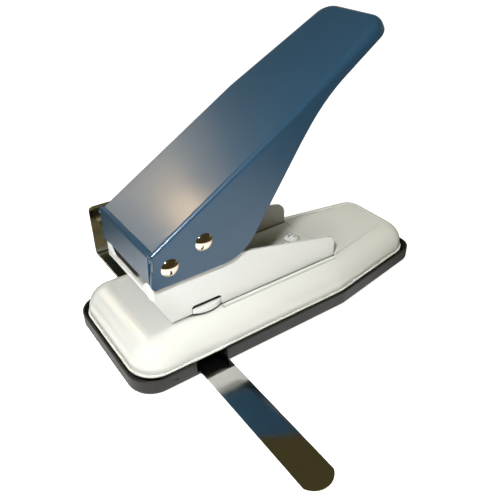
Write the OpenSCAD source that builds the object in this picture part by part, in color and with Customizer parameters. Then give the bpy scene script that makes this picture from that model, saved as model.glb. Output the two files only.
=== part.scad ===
// Desktop calendar punch: a lever press on a low base that cuts a half-moon thumb notch
// in the edge of a stack of sheets. Millimetres, +Z up, paper goes in towards +X.
// The origin is the centre of the resting face, on the centre plane of the press.

/* [Base] */
// Length of the base, front to rear
base_len = 192; // [185:1:205]
// Width of the base over its parallel part
base_w = 78; // [74:1:84]
// Width of the base at its rear end
rear_w = 55; // [50:1:60]
// Length of the rear part that narrows
taper_len = 67.5; // [60:0.5:70]
// Corner radius at the front of the tray
tray_front_r = 13.5; // [11:0.5:15]
// Corner radius at the rear of the tray
tray_rear_r = 10; // [8:0.5:12]
// Height of the tray from its underside to its rim
tray_h = 9; // [8.8:0.1:10]
// Wall of the tray
tray_wall = 1.1; // [1:0.1:1.4]
// Floor of the tray
tray_floor = 2; // [1.6:0.1:2.4]
// Radius of the tray's lower edge
tray_edge_r = 2.5; // [1.5:0.1:3]
// Thickness of the rubber pad under the tray
pad_t = 0.8; // [0.6:0.1:1.2]
// Distance from the tray's edge to the pad's edge
pad_inset = 8; // [7:0.5:9]

/* [Cover] */
// Height of the cover's top above the ground
cover_top = 24.2; // [23.8:0.1:26]
// Sheet thickness of the cover
cover_t = 1.2; // [1:0.1:1.4]
// Radius of the cover's top edge
cover_edge_r = 12.5; // [10:0.5:13]
// Corner radius of the cover in plan
cover_corner_r = 14; // [13.5:0.5:15]
// Width of the lip around the cover's lower edge
cover_lip = 0.9; // [0.5:0.1:1.1]
// Height of that lip
cover_lip_h = 0.9; // [0.7:0.1:1.2]
// Gap between the lip and the tray's rim
rim_gap = 0.9; // [0.6:0.1:1]
// Height that the rim stands above the cover's lower edge
rim_rise = 0.7; // [0.4:0.1:1]

/* [Chassis] */
// Thickness of the steel chassis plate
chassis_t = 3; // [2.5:0.1:3.2]
// Thickness of the press's side plates
side_t = 1.6; // [1.4:0.1:2]
// Width over the outside of the side plates
side_w = 46.2; // [44:0.2:47]
// Distance from the base's front to the side plates' front edge
side_front = 17.2; // [15:0.1:18]
// Distance from the base's front to their rear edge
side_rear = 129.1; // [124:0.1:132]
// Height of their rear top corner above the ground
side_rear_z = 36.6; // [36:0.1:40]
// Radius of their rear top corner
side_rear_r = 7; // [5:0.5:9]
// Height of the front corner, where the chamfer starts
nose_z = 44.6; // [43:0.1:46]
// Distance from the base's front to the chamfer's foot
nose_foot = 26.8; // [25:0.1:29]
// Height of the front strip's top
nose_top_z = 46.8; // [46.4:0.1:49]
// Height that the sheet rises to beside the front strip
nose_corner_z = 52.2; // [51:0.1:52.3]
// Height of the shoulder that stops the lever
shoulder_z = 53.4; // [52.5:0.1:53.4]
// Height of the paper throat
throat_h = 1.2; // [1:0.1:1.8]
// Distance from the base's front to the back of the throat
throat_back = 54.7; // [54.2:0.1:56]

/* [Lever] */
// Distance from the base's front to the pivot
pivot_from_front = 27.3; // [26.8:0.1:27.6]
// Height of the pivot above the ground
pivot_z = 59; // [58.8:0.1:59.3]
// Distance between pivot and drive pin
pin_pitch = 19.1; // [18.8:0.1:19.3]
// Slope of the line through both pins at rest
pin_slope = 20.7; // [20:0.1:21]
// Angle that the lever is pressed through
press_angle = 24; // [20:0.5:24]
// Slope of the lever's top at rest
lever_slope = 31.2; // [30:0.1:32]
// Distance from the base's front to the top of the lever's front lip
lip_from_front = 18.1; // [17.9:0.1:18.3]
// Height of the top of that lip
lip_z = 67.6; // [67.2:0.1:68.2]
// Height of the lip's lower edge
lip_low_z = 52.7; // [52.4:0.1:54]
// Length of the lever's top
lever_len = 157; // [145:0.1:165]
// Width of the lever over its parallel part
lever_w = 52.8; // [51.4:0.2:54]
// Width of the lever at its tip
lever_tip_w = 44.8; // [44:0.2:49]
// Sheet thickness of the lever
lever_t = 1.5; // [1.2:0.1:1.6]
// Edge radius of the lever's top
lever_edge_r = 1.8; // [1.6:0.1:2.6]
// Edge radius of the lever's tip
tip_edge_r = 5; // [4:0.1:5.8]
// Corner radius of the lever's tip in plan
tip_corner_r = 10; // [7:0.1:10.5]
// Height of the lower edge of the lever's skirts above the ground
skirt_z = 49.9; // [49:0.1:50.5]
// Depth of the skirts at the tip
tip_depth = 7; // [6:0.1:9]
// Slope of the skirts' rear edge
skirt_rise = 56.5; // [54:0.5:58]
// Radius of the lever's pins
pin_r = 3; // [2.8:0.1:3.1]
// Radius of the pins' domed heads
pin_head_r = 4.7; // [4.2:0.1:5]
// Height of those heads
pin_head_h = 2.3; // [1.8:0.1:2.6]

/* [Punch and die] */
// Radius of the half-moon cutter
cutter_r = 10; // [9:0.1:10.2]
// Distance from the base's front to the cutter's flat side
cutter_flat = 50.9; // [50.5:0.1:51.2]
// Radius of the punch stem
stem_r = 5; // [4.5:0.1:5.2]
// Thickness of the die plate
die_t = 4; // [3.5:0.1:4.5]
// Thickness of the lower guide plate
guide_t = 3; // [2.6:0.1:3.2]
// Height of the upper guide plate's underside
upper_guide_z = 40.3; // [40:0.1:41]
// Thickness of the upper guide plate
upper_guide_t = 2; // [1.6:0.1:2.2]
// Wire thickness of the return spring
spring_wire = 1; // [0.8:0.1:1]
// Turns of the return spring
spring_turns = 4.5; // [3.5:0.5:4.5]

/* [Side guide] */
// Width of the guide strap
strap_w = 16; // [14:0.5:16]
// Thickness of the guide strap
strap_t = 1.2; // [1:0.1:1.2]
// Distance from the base's front to the strap's front edge
strap_from_front = 30.8; // [30:0.1:31.2]
// Reach of the strap's stop tab from the centre plane
tab_reach = 86; // [70:1:110]
// Height of the tab above the strap
tab_h = 31.8; // [26:0.1:35]
// Reach of the strap's free end from the centre plane
strap_reach = 121.9; // [108:0.1:130]
// Radius of the strap's free end
strap_end_r = 9; // [8.5:0.1:12]
// Inner radius of the strap's bend
strap_bend_r = 1.5; // [1:0.1:2.5]

/* [Fits] */
// Radial clearance of a pin or stem that turns or slides
run_gap = 0.06; // [0.03:0.01:0.1]
// Clearance between parts that are set together
set_gap = 0.15; // [0.1:0.05:0.2]
// Clearance around parts that pass through sheet metal
pass_gap = 0.5; // [0.3:0.05:0.6]

/* [Hidden] */

round_fn = 64;
plan_fn = 48;
edge_steps = 7;
arc_steps = 10;
over = 1;

// Plan of the base
front_x = -base_len / 2;
rear_x = base_len / 2;
taper_x = rear_x - taper_len;
taper_a = atan2((base_w - rear_w) / 2, taper_len);

// Heights from the ground up
tray_z = pad_t;
floor_z = tray_z + tray_floor;
rim_z = tray_z + tray_h;
cover_z = rim_z - rim_rise;
chassis_z = cover_z - 1.1;
chassis_top = chassis_z + chassis_t;
strap_drop = 2.5;
strap_top = chassis_z - strap_drop;
strap_z = strap_top - strap_t;
die_z = cover_top - die_t;
throat_z = cover_top + throat_h;
guide_top = throat_z + guide_t;
upper_guide_top = upper_guide_z + upper_guide_t;

// Insets from the tray's outline
lip_inset = tray_wall + rim_gap;
cover_inset = lip_inset + cover_lip;
cover_inside = cover_inset + cover_t;
chassis_inset = cover_inside + set_gap;

// Widths across the press
side_y = side_w / 2;
side_in = side_y - side_t;
lever_y = lever_w / 2;
lever_in = lever_y - lever_t;

bend_r = side_t + 0.8;
strip_half = 15.5;

// Places along the base
side_x = front_x + side_front;
side_end_x = front_x + side_rear;
nose_foot_x = front_x + nose_foot;
throat_x = front_x + throat_back;
window_len = 16.6;
window_x = throat_x - window_len;
window_rise = 4.5;
cutter_x = front_x + cutter_flat;
stem_x = cutter_x - cutter_r / 2 - 0.1;
strap_x = front_x + strap_from_front;
pivot_x = front_x + pivot_from_front;
drive_x = pivot_x + pin_pitch * cos(pin_slope);
drive_z = pivot_z + pin_pitch * sin(pin_slope);
lip_x = front_x + lip_from_front;
stroke = pin_pitch * (sin(pin_slope) - sin(pin_slope - press_angle));

// Fasteners and small parts
tray_screw_r = 1.5;
tray_head_r = 2.9;
tray_head_h = 1.6;
boss_r = 4.2;
screw_places = [[14, 24], [14, -24], [148, 19], [148, -19]];
cover_screw_from_front = 120;
cover_screw_y = 3.5;
cover_screw_r = 2;
cover_head_r = 4.8;
cover_head_h = 2.6;
washer_r = 5.8;
washer_t = 0.8;
post_r = 5;
die_screw_r = 1.5;
die_head_r = 2.8;
die_screw_y = cutter_r + 3.9;
die_half_w = 17;
die_front = 4.2;
chute_gap = 2.6;
chute_len = 10;
die_block_end = 2;
leaf_inset = 4;
leaf_half = 12.5;
leaf_t = 0.4;
screw_short = 3;
pivot_washer_r = 6;
clip_eye_r = 3.9;
clip_eye_bore = 0.8;
keeper_y = 24;
keeper_w = 10;
keeper_t = 1;
keeper_foot = 6;
rivet_r = 1.5;
ear_r = 6.6;
clip_t = 0.8;
clip_r = 5;
clip_groove_r = 2.3;
spacer_r = 4.2;
crosshead_x = 16;
crosshead_y = 20;
crosshead_low = 9.8;
crosshead_high = 5.2;
cross_pin_r = 1.5;
stem_top = drive_z - pin_r - 1.3;
spring_r = stem_r + 1.2 + spring_wire / 2;

function ease(n) = [for (i = [0 : n]) i / n];

// Corner k of the base's plan (0 front, 1 start of taper, 2 rear), moved in by d
function plan_corner(k, d) =
    k == 0 ? [front_x + d, base_w / 2 - d]
    : k == 1 ? [taper_x - d * tan(taper_a / 2), base_w / 2 - d]
    : [rear_x - d,
        base_w / 2 - (d + (rear_x - d - taper_x) * sin(taper_a)) / cos(taper_a)];

function cross2(a, b) = a[0] * b[1] - a[1] * b[0];

// Round post with rounded lower and upper edges
module puck(r, z0, z1, low_r, high_r) {
    low = [for (t = ease(edge_steps)) let (a = -90 + 90 * t)
        [r - low_r + low_r * cos(a), z0 + low_r + low_r * sin(a)]];
    high = [for (t = ease(edge_steps)) let (a = 90 * t)
        [r - high_r + high_r * cos(a), z1 - high_r + high_r * sin(a)]];
    sides = concat(low_r > 0 ? low : [[r, z0]], high_r > 0 ? high : [[r, z1]]);
    rotate_extrude($fn = plan_fn) polygon(concat([[0, z0]], sides, [[0, z1]]));
}

// Body with the base's plan, its edge moved in, and rounded edges
module plan_body(inset, radii, z0, z1, low_r = 0, high_r = 0) {
    hull() for (k = [0 : 2], s = [-1, 1])
        let (c = plan_corner(k, inset + radii[k]))
            translate([c[0], s * c[1], 0]) puck(radii[k], z0, z1, low_r, high_r);
}

// Points of an arc, from one angle to another
function arc(c, r, a0, a1) = [for (t = ease(arc_steps)) let (a = a0 + (a1 - a0) * t)
    c + r * [cos(a), sin(a)]];

// The same plan as a flat outline
module plan_outline(inset, radii) {
    c = [for (k = [0 : 2]) plan_corner(k, inset + radii[k])];
    slant = 90 - taper_a;
    upper = concat(arc(c[0], radii[0], 180, 90), arc(c[1], radii[1], 90, slant),
        arc(c[2], radii[2], slant, 0));
    last = len(upper) - 1;
    polygon(concat(upper, [for (i = [last : -1 : 0]) [upper[i][0], -upper[i][1]]]));
}

// Box given by its lowest and highest corners
module block(low, high) {
    translate(low) cube(high - low);
}

// Cylinder along Y between two places
module rod_y(x, z, y0, y1, r) {
    translate([x, y1, z]) rotate([90, 0, 0]) cylinder(r = r, h = y1 - y0, $fn = round_fn);
}

// Outline drawn in X and Z, made into a plate from y0 to y0 + t
module plate_xz(y0, t) {
    translate([0, y0 + t, 0]) rotate([90, 0, 0]) linear_extrude(t) children();
}

module base_pad() {
    color("#2a2a2a") difference() {
        linear_extrude(pad_t)
            plan_outline(pad_inset, [tray_front_r, tray_front_r, tray_rear_r] - [4, 4, 4]);
        for (p = screw_places)
            translate([front_x + p[0], p[1], -over])
                cylinder(r = tray_head_r + 0.8, h = pad_t + 2 * over, $fn = round_fn);
    }
}

// Upright ribs inside the tray's wall, on which the cover's lip rests
module tray_ribs() {
    rib_t = 1.4;
    reach = chassis_inset - tray_wall;
    for (s = [-1, 1], x = [front_x + 22, front_x + 70, front_x + 112])
        block([x, s > 0 ? base_w / 2 - chassis_inset : -base_w / 2 + tray_wall / 2, floor_z - 0.2],
            [x + rib_t, s > 0 ? base_w / 2 - tray_wall / 2 : -base_w / 2 + chassis_inset, cover_z]);
    for (s = [-1, 1])
        block([front_x + tray_wall / 2, s * 18 - rib_t / 2, floor_z - 0.2],
            [front_x + tray_wall + reach, s * 18 + rib_t / 2, cover_z]);
    for (s = [-1, 1])
        block([rear_x - tray_wall - reach, s * 12 - rib_t / 2, floor_z - 0.2],
            [rear_x - tray_wall / 2, s * 12 + rib_t / 2, cover_z]);
}

module base_tray() {
    radii = [tray_front_r, tray_front_r, tray_rear_r];
    inner = radii - [tray_wall, tray_wall, tray_wall];
    color("#3a3836") difference() {
        union() {
            difference() {
                plan_body(0, radii, tray_z, rim_z, tray_edge_r, 0.4);
                plan_body(tray_wall, inner, floor_z, rim_z + over, tray_edge_r - tray_wall, 0);
            }
            tray_ribs();
            for (p = screw_places)
                translate([front_x + p[0], p[1], floor_z - 0.2])
                    cylinder(r = boss_r, h = chassis_z - floor_z + 0.2, $fn = round_fn);
        }
        for (s = [-1, 1])
            block([strap_x - 0.7, s * base_w / 2 - 4, strap_z - 0.5],
                [strap_x + strap_w + 0.7, s * base_w / 2 + 4, rim_z + over]);
        for (p = screw_places)
            translate([front_x + p[0], p[1], 0]) {
                cylinder(r = tray_screw_r + set_gap, h = chassis_z + over, $fn = round_fn);
                translate([0, 0, tray_z - over])
                    cylinder(r = tray_head_r + 0.3, h = tray_head_h + 0.3 + over, $fn = round_fn);
            }
    }
}

// Screw with a round head, pointing up, its head's underside at z = 0
module pan_screw(shank_r, head_r, head_h, length) {
    cylinder(r = shank_r, h = length, $fn = round_fn);
    translate([0, 0, -head_h]) difference() {
        cylinder(r = head_r, h = head_h, $fn = round_fn);
        cross_slot(head_r, head_h);
    }
}

// Cross recess cut in from a head's outer face at z = 0
module cross_slot(head_r, head_h) {
    arm = head_r * 0.55;
    blade = head_r * 0.17;
    for (a = [0, 90]) rotate([0, 0, a])
        block([-arm, -blade, -over], [arm, blade, head_h * 0.55]);
}

module tray_screws() {
    color("silver") for (p = screw_places)
        translate([front_x + p[0], p[1], tray_z + tray_head_h + 0.3])
            pan_screw(tray_screw_r, tray_head_r, tray_head_h, chassis_top - tray_z - screw_short);
}

module chassis_plate() {
    radii = [cover_corner_r, cover_corner_r, cover_corner_r] - [1, 1, 1] * cover_t;
    color("#8d9196") difference() {
        translate([0, 0, chassis_z]) linear_extrude(chassis_t) plan_outline(chassis_inset, radii);
        for (p = screw_places)
            translate([front_x + p[0], p[1], chassis_z - over])
                cylinder(r = tray_screw_r + 0.02, h = chassis_t + 2 * over, $fn = round_fn);
        for (s = [-1, 1], t = side_tabs)
            block([t[0] - set_gap, s * (side_y - side_t / 2) - side_t / 2 - 0.1, chassis_z - over],
                [t[1] + set_gap, s * (side_y - side_t / 2) + side_t / 2 + 0.1, chassis_top + over]);
        block([chute_low[0], -cutter_r - 1.5, chassis_z - over],
            [chute_low[1], cutter_r + 1.5, chassis_top + over]);
        for (s = [-1, 1])
            translate([stem_x, s * die_screw_y, chassis_z - over])
                cylinder(r = die_screw_r + 0.02, h = chassis_t + 2 * over, $fn = round_fn);
        translate([front_x + cover_screw_from_front, cover_screw_y, chassis_z - over])
            cylinder(r = cover_screw_r + 1, h = chassis_t + 2 * over, $fn = round_fn);
        for (p = rivet_places)
            translate([p[0], p[1], chassis_z - over])
                cylinder(r = rivet_r + 0.02, h = chassis_t + 2 * over, $fn = round_fn);
        block([strap_x + 3.5, -14, chassis_z - over], [strap_x + strap_w - 3.5, 14, chassis_z + 1.4]);
    }
}

// Ends of the tabs that fix a side plate in the chassis
side_tabs = [[throat_x + 8, throat_x + 24], [side_end_x - 24, side_end_x - 8]];
// Lower mouth of the chip chute, behind the strap
chute_low = [strap_x + strap_w + chute_gap, strap_x + strap_w + chute_gap + chute_len];
// Places of the rivets that hold the strap's keepers
rivet_places = [for (s = [-1, 1], e = [-1, 1])
    [strap_x + strap_w / 2 + e * (strap_w / 2 + keeper_t + 0.4 + keeper_foot / 2), s * keeper_y]];

module base_cover() {
    radii = [1, 1, 1] * cover_corner_r;
    inner = [1, 1, 1] * (cover_corner_r - cover_t);
    wide = [1, 1, 1] * (cover_corner_r + cover_lip);
    color("#e9ebe2") difference() {
        union() {
            plan_body(cover_inset, radii, cover_z, cover_top, 0, cover_edge_r);
            plan_body(lip_inset, wide, cover_z, cover_z + cover_lip_h, 0, 0.3);
        }
        plan_body(cover_inside, inner, cover_z - over, cover_top - cover_t, 0,
            cover_edge_r - cover_t);
        for (s = [-1, 1])
            block([throat_x - pass_gap, s * (side_y - side_t / 2) - side_t / 2 - pass_gap, cover_z],
                [side_end_x + pass_gap, s * (side_y - side_t / 2) + side_t / 2 + pass_gap,
                    cover_top + over]);
        block([die_front_x - set_gap, -die_half_w - set_gap, cover_z],
            [throat_x + set_gap, die_half_w + set_gap, cover_top + over]);
        translate([front_x + cover_screw_from_front, cover_screw_y, cover_z])
            cylinder(r = cover_screw_r + 0.3, h = cover_top, $fn = round_fn);
    }
}

die_front_x = cutter_x - cutter_r - die_front;

module cover_post() {
    color("silver") translate([front_x + cover_screw_from_front, cover_screw_y, 0]) difference() {
        union() {
            translate([0, 0, chassis_top])
                cylinder(r = post_r, h = cover_top - cover_t - chassis_top, $fn = 6);
            translate([0, 0, chassis_z])
                cylinder(r = cover_screw_r + 0.98, h = chassis_t + 0.2, $fn = round_fn);
        }
        translate([0, 0, chassis_top])
            cylinder(r = cover_screw_r + 0.02, h = cover_top, $fn = round_fn);
    }
}

module cover_washer() {
    color("#e6e6df") translate([front_x + cover_screw_from_front, cover_screw_y, cover_top])
        difference() {
            cylinder(r = washer_r, h = washer_t, $fn = round_fn);
            translate([0, 0, -over])
                cylinder(r = cover_screw_r + 0.1, h = washer_t + 2 * over, $fn = round_fn);
        }
}

module cover_screw() {
    dome_r = (cover_head_r * cover_head_r + cover_head_h * cover_head_h) / (2 * cover_head_h);
    shank = 11;
    color("#ecece6") translate([front_x + cover_screw_from_front, cover_screw_y,
        cover_top + washer_t]) {
        difference() {
            intersection() {
                cylinder(r = cover_head_r, h = cover_head_h, $fn = round_fn);
                translate([0, 0, cover_head_h - dome_r]) sphere(r = dome_r, $fn = round_fn);
            }
            translate([0, 0, cover_head_h]) mirror([0, 0, 1])
                cross_slot(cover_head_r, cover_head_h);
        }
        translate([0, 0, -shank]) cylinder(r = cover_screw_r, h = shank + 0.3, $fn = round_fn);
    }
}

// Outline of a side plate in X and Z
function side_outline() =
    let (slope = atan2(side_rear_z - shoulder_z, side_end_x - shoulder_end_x),
        c = [side_end_x - side_rear_r, side_rear_z - side_rear_r
            - side_rear_r * (1 / cos(slope) - 1) - side_rear_r * tan(slope)])
    concat(
        [[side_x, nose_z], [side_x, nose_corner_z], [pivot_x - ear_r, nose_corner_z]],
        arc([pivot_x, pivot_z], ear_r, 180, 0),
        [[pivot_x + ear_r, shoulder_z], [shoulder_end_x, shoulder_z]],
        arc(c, side_rear_r, 90 + slope, 0),
        [[side_end_x, chassis_top]],
        [for (t = [side_tabs[1], side_tabs[0]]) each [[t[1], chassis_top], [t[1], chassis_z],
            [t[0], chassis_z], [t[0], chassis_top]]],
        [[throat_x, chassis_top], [throat_x, throat_z + window_rise],
            [window_x, throat_z + window_rise], [window_x, throat_z],
            [nose_foot_x, throat_z]]);

shoulder_end_x = drive_x + 7;

// Plan of the folded sheet, open to the rear
function folded_plan() =
    let (outer = concat(arc([side_x + bend_r, side_y - bend_r], bend_r, 90, 180),
            arc([side_x + bend_r, -side_y + bend_r], bend_r, 180, 270)),
        inner = concat(arc([side_x + bend_r, -side_in + bend_r - side_t], bend_r - side_t, 270, 180),
            arc([side_x + bend_r, side_in - bend_r + side_t], bend_r - side_t, 180, 90)))
    concat([[side_end_x, side_y]], outer, [[side_end_x, -side_y], [side_end_x, -side_in]], inner,
        [[side_end_x, side_in]]);

// Side walls and front strip folded from one sheet
module punch_bracket() {
    color("#f0f1ec") difference() {
        intersection() {
            translate([0, 0, chassis_z - over])
                linear_extrude(pivot_z + ear_r - chassis_z + 2 * over) polygon(folded_plan());
            plate_xz(-side_y - over, side_w + 2 * over) polygon(side_outline());
        }
        block([side_x - over, -side_y + bend_r, throat_z], [side_x + 3, side_y - bend_r, nose_z]);
        translate([side_x - over, 0, 0]) rotate([90, 0, 90]) linear_extrude(3 + over)
            let (y1 = side_in - 0.6, z1 = nose_corner_z, top = z1 + ear_r)
                polygon([[-strip_half, nose_top_z], [strip_half, nose_top_z], [y1, z1], [y1, top],
                    [-y1, top], [-y1, z1]]);
        rod_y(pivot_x, pivot_z, -side_y - over, side_y + over, pin_r + run_gap);
    }
}

module upper_guide_plate() {
    color("#f0f1ec") difference() {
        block([side_x + 7, -side_in, upper_guide_z], [throat_x + 3, side_in, upper_guide_top]);
        translate([stem_x, 0, upper_guide_z - over])
            cylinder(r = stem_r + run_gap, h = upper_guide_t + 2 * over, $fn = round_fn);
    }
}

// Half-moon column with its flat side towards the paper stop
module half_moon(grow, z0, z1) {
    intersection() {
        translate([cutter_x, 0, z0]) cylinder(r = cutter_r + grow, h = z1 - z0, $fn = 96);
        block([cutter_x - cutter_r - over, -cutter_r - over, z0 - over],
            [cutter_x + grow, cutter_r + over, z1 + over]);
    }
}

// Stripper plate whose bowed ends come out through the windows of the walls
module lower_guide_plate() {
    tab_out = 2.7;
    corner_out = 0.2;
    x0 = window_x + set_gap;
    x1 = throat_x - set_gap;
    sag = tab_out - corner_out;
    half = (x1 - x0) / 2;
    bow = (half * half + sag * sag) / (2 * sag);
    color("#f0f1ec") difference() {
        union() {
            block([x0 - 2, -side_in, throat_z], [x1, side_in, guide_top]);
            for (s = [-1, 1]) intersection() {
                translate([x0 + half, s * (side_y + tab_out - bow), throat_z])
                    cylinder(r = bow, h = guide_t, $fn = 128);
                block([x0, s > 0 ? side_in - 2 : -side_y - tab_out - over, throat_z - over],
                    [x1, s > 0 ? side_y + tab_out + over : -side_in + 2, guide_top + over]);
            }
        }
        half_moon(run_gap, throat_z - over, guide_top + over);
    }
}

module die_block() {
    x1 = chute_low[1] + die_block_end;
    color("#777b80") difference() {
        block([die_front_x, -die_half_w, chassis_top], [x1, die_half_w, die_z]);
        plate_xz(-cutter_r - 1, 2 * cutter_r + 2)
            polygon([[cutter_x - cutter_r - 0.6, die_z + over], [cutter_x + 0.8, die_z + over],
                [cutter_x + 0.8, die_z - 0.5], [chute_low[1], chassis_top],
                [chute_low[1], chassis_top - over], [chute_low[0], chassis_top - over],
                [chute_low[0], chassis_top], [cutter_x - cutter_r - 0.6, die_z - 2]]);
        for (s = [-1, 1])
            translate([stem_x, s * die_screw_y, chassis_top - over])
                cylinder(r = die_screw_r + 0.1, h = die_z, $fn = round_fn);
    }
}

module die_plate() {
    color("#9a9ea3") difference() {
        block([die_front_x, -die_half_w, die_z], [throat_x, die_half_w, cover_top]);
        half_moon(run_gap, die_z - over, cover_top + over);
        for (s = [-1, 1]) translate([stem_x, s * die_screw_y, 0]) {
            cylinder(r = die_screw_r + 0.1, h = cover_top + over, $fn = round_fn);
            translate([0, 0, cover_top - die_head_h])
                cylinder(r1 = die_screw_r + 0.1, r2 = die_head_r + 0.1, h = die_head_h + 0.01,
                    $fn = round_fn);
        }
    }
}

die_head_h = 1.6;

module die_screws() {
    color("silver") for (s = [-1, 1]) translate([stem_x, s * die_screw_y, 0]) difference() {
        union() {
            translate([0, 0, chassis_z + 0.3])
                cylinder(r = die_screw_r, h = cover_top - chassis_z - 1, $fn = round_fn);
            translate([0, 0, cover_top - die_head_h])
                cylinder(r1 = die_screw_r, r2 = die_head_r, h = die_head_h - 0.1, $fn = round_fn);
        }
        translate([0, 0, cover_top - 0.1]) mirror([0, 0, 1]) cross_slot(die_head_r, 1.4);
    }
}

module paper_stop() {
    x0 = cutter_x + 0.2;
    color("#f0f1ec") block([x0, -side_y, cover_top], [throat_x - set_gap, side_y, throat_z]);
}

// Hat-shaped keepers under the chassis that carry the strap
module strap_keepers() {
    x0 = strap_x - 0.4;
    x1 = strap_x + strap_w + 0.4;
    low = strap_z - 0.2;
    foot_z = chassis_z - keeper_t;
    color("#9a9ea3") for (s = [-1, 1])
        difference() {
            plate_xz(s * keeper_y - keeper_w / 2, keeper_w)
                polygon([[x0 - keeper_t - keeper_foot, chassis_z],
                    [x0 - keeper_t - keeper_foot, foot_z], [x0 - keeper_t, foot_z],
                    [x0 - keeper_t, low - keeper_t], [x1 + keeper_t, low - keeper_t],
                    [x1 + keeper_t, foot_z], [x1 + keeper_t + keeper_foot, foot_z],
                    [x1 + keeper_t + keeper_foot, chassis_z], [x1, chassis_z], [x1, low],
                    [x0, low], [x0, chassis_z]]);
            for (p = rivet_places)
                translate([p[0], p[1], foot_z - over])
                    cylinder(r = rivet_r + 0.02, h = keeper_t + 2 * over, $fn = round_fn);
        }
}

module keeper_rivets() {
    head_r = 2.6;
    color("silver") for (p = rivet_places) translate([p[0], p[1], 0]) {
        translate([0, 0, chassis_z - keeper_t - 0.9]) cylinder(r = head_r, h = 0.9, $fn = round_fn);
        translate([0, 0, chassis_z - keeper_t - 0.5])
            cylinder(r = rivet_r, h = chassis_t + keeper_t + 0.5, $fn = round_fn);
    }
}

// Bowed leaf in the chassis pocket that presses on the strap and holds it where it is put
module strap_leaf_spring() {
    half = leaf_half;
    leaf_w = strap_w - 2 * leaf_inset;
    top = chassis_z + 1.4;
    sag = top - strap_top - leaf_t - 0.2;
    bow = (half * half + sag * sag) / (2 * sag);
    color("#b0b4b8") intersection() {
        translate([strap_x + leaf_inset, 0, top + bow - sag - leaf_t]) rotate([0, 90, 0]) difference() {
            cylinder(r = bow, h = leaf_w, $fn = 360);
            translate([0, 0, -over]) cylinder(r = bow - leaf_t, h = leaf_w + 2 * over, $fn = 360);
        }
        block([strap_x, -half, strap_top], [strap_x + strap_w, half, top]);
    }
}

module side_guide() {
    bend = strap_bend_r + strap_t;
    tab_top = strap_top + tab_h;
    corner = 2.5;
    color("#d9dde0") {
        translate([0, 0, strap_z]) linear_extrude(strap_t) {
            translate([strap_x, -strap_reach + strap_end_r / 2])
                square([strap_w, strap_reach - strap_end_r / 2 + tab_reach - bend]);
            intersection() {
                translate([strap_x + strap_w / 2, -strap_reach + strap_end_r])
                    circle(r = strap_end_r, $fn = 96);
                translate([strap_x, -strap_reach]) square([strap_w, strap_end_r]);
            }
        }
        translate([strap_x, tab_reach - bend, strap_z + bend]) rotate([0, 90, 0])
            rotate([0, 0, 0]) linear_extrude(strap_w) intersection() {
                difference() {
                    circle(r = bend, $fn = 96);
                    circle(r = strap_bend_r, $fn = 96);
                }
                square([bend, bend]);
            }
        translate([0, tab_reach - strap_t, 0]) plate_tab(tab_top, corner, bend);
    }
}

// Upright tab of the strap with rounded top corners
module plate_tab(tab_top, corner, bend) {
    plate_xz(0, strap_t) {
        translate([strap_x, strap_z + bend])
            square([strap_w, tab_top - strap_z - bend - corner]);
        translate([strap_x + corner, strap_z + bend])
            square([strap_w - 2 * corner, tab_top - strap_z - bend]);
        for (x = [strap_x + corner, strap_x + strap_w - corner])
            translate([x, tab_top - corner]) circle(r = corner, $fn = round_fn);
    }
}

// Direction of the lever's top and the outward direction below it
lever_u = [cos(lever_slope), sin(lever_slope)];
lever_down = [sin(lever_slope), -cos(lever_slope)];
lip_lean = 0.7;
belly_r = 22;
belly_x = front_x + 54.5;
blend_r = 90;

// Lower edge of the lever's skirts from the front corner to past the tip
function skirt_edge() =
    let (front = lip_x - lip_lean, corner = 2.5,
        rise = [cos(skirt_rise), sin(skirt_rise)],
        belly = arc([belly_x, skirt_z + belly_r], belly_r, -90, skirt_rise - 90),
        start = belly[arc_steps],
        under = [lip_x, lip_z] + tip_depth * lever_down,
        along = cross2(under - start, lever_u) / cross2(rise, lever_u),
        meet = start + along * rise,
        half = (skirt_rise - lever_slope) / 2,
        first = meet - blend_r * tan(half) * rise,
        centre = first + blend_r * [rise[1], -rise[0]])
    concat(
        arc([front + corner, skirt_z + corner], corner, 180, 270),
        belly,
        arc(centre, blend_r, 90 + skirt_rise, 90 + lever_slope),
        [under + (lever_len + 20) * lever_u]);

// Lever shape with all its faces moved in by t
module lever_form(t) {
    parallel_len = 90;
    ahead = 16;
    depth = 45;
    edge_r = lever_edge_r - t * 0.8;
    half_w = lever_y - t;
    tip_y = lever_tip_w / 2 - tip_corner_r;
    translate([lip_x, 0, lip_z]) rotate([0, -lever_slope, 0]) hull() {
        for (s = [-1, 1])
            translate([-ahead, s * (half_w - edge_r), -t - edge_r]) rotate([0, 90, 0])
                cylinder(r = edge_r, h = ahead + parallel_len, $fn = 32);
        block([-ahead, -half_w, -depth], [parallel_len, half_w, -t - edge_r]);
        for (s = [-1, 1])
            translate([lever_len - tip_corner_r, s * tip_y, 0])
                puck(tip_corner_r - t, -depth, -t, 0, tip_edge_r - t);
    }
}

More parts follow.
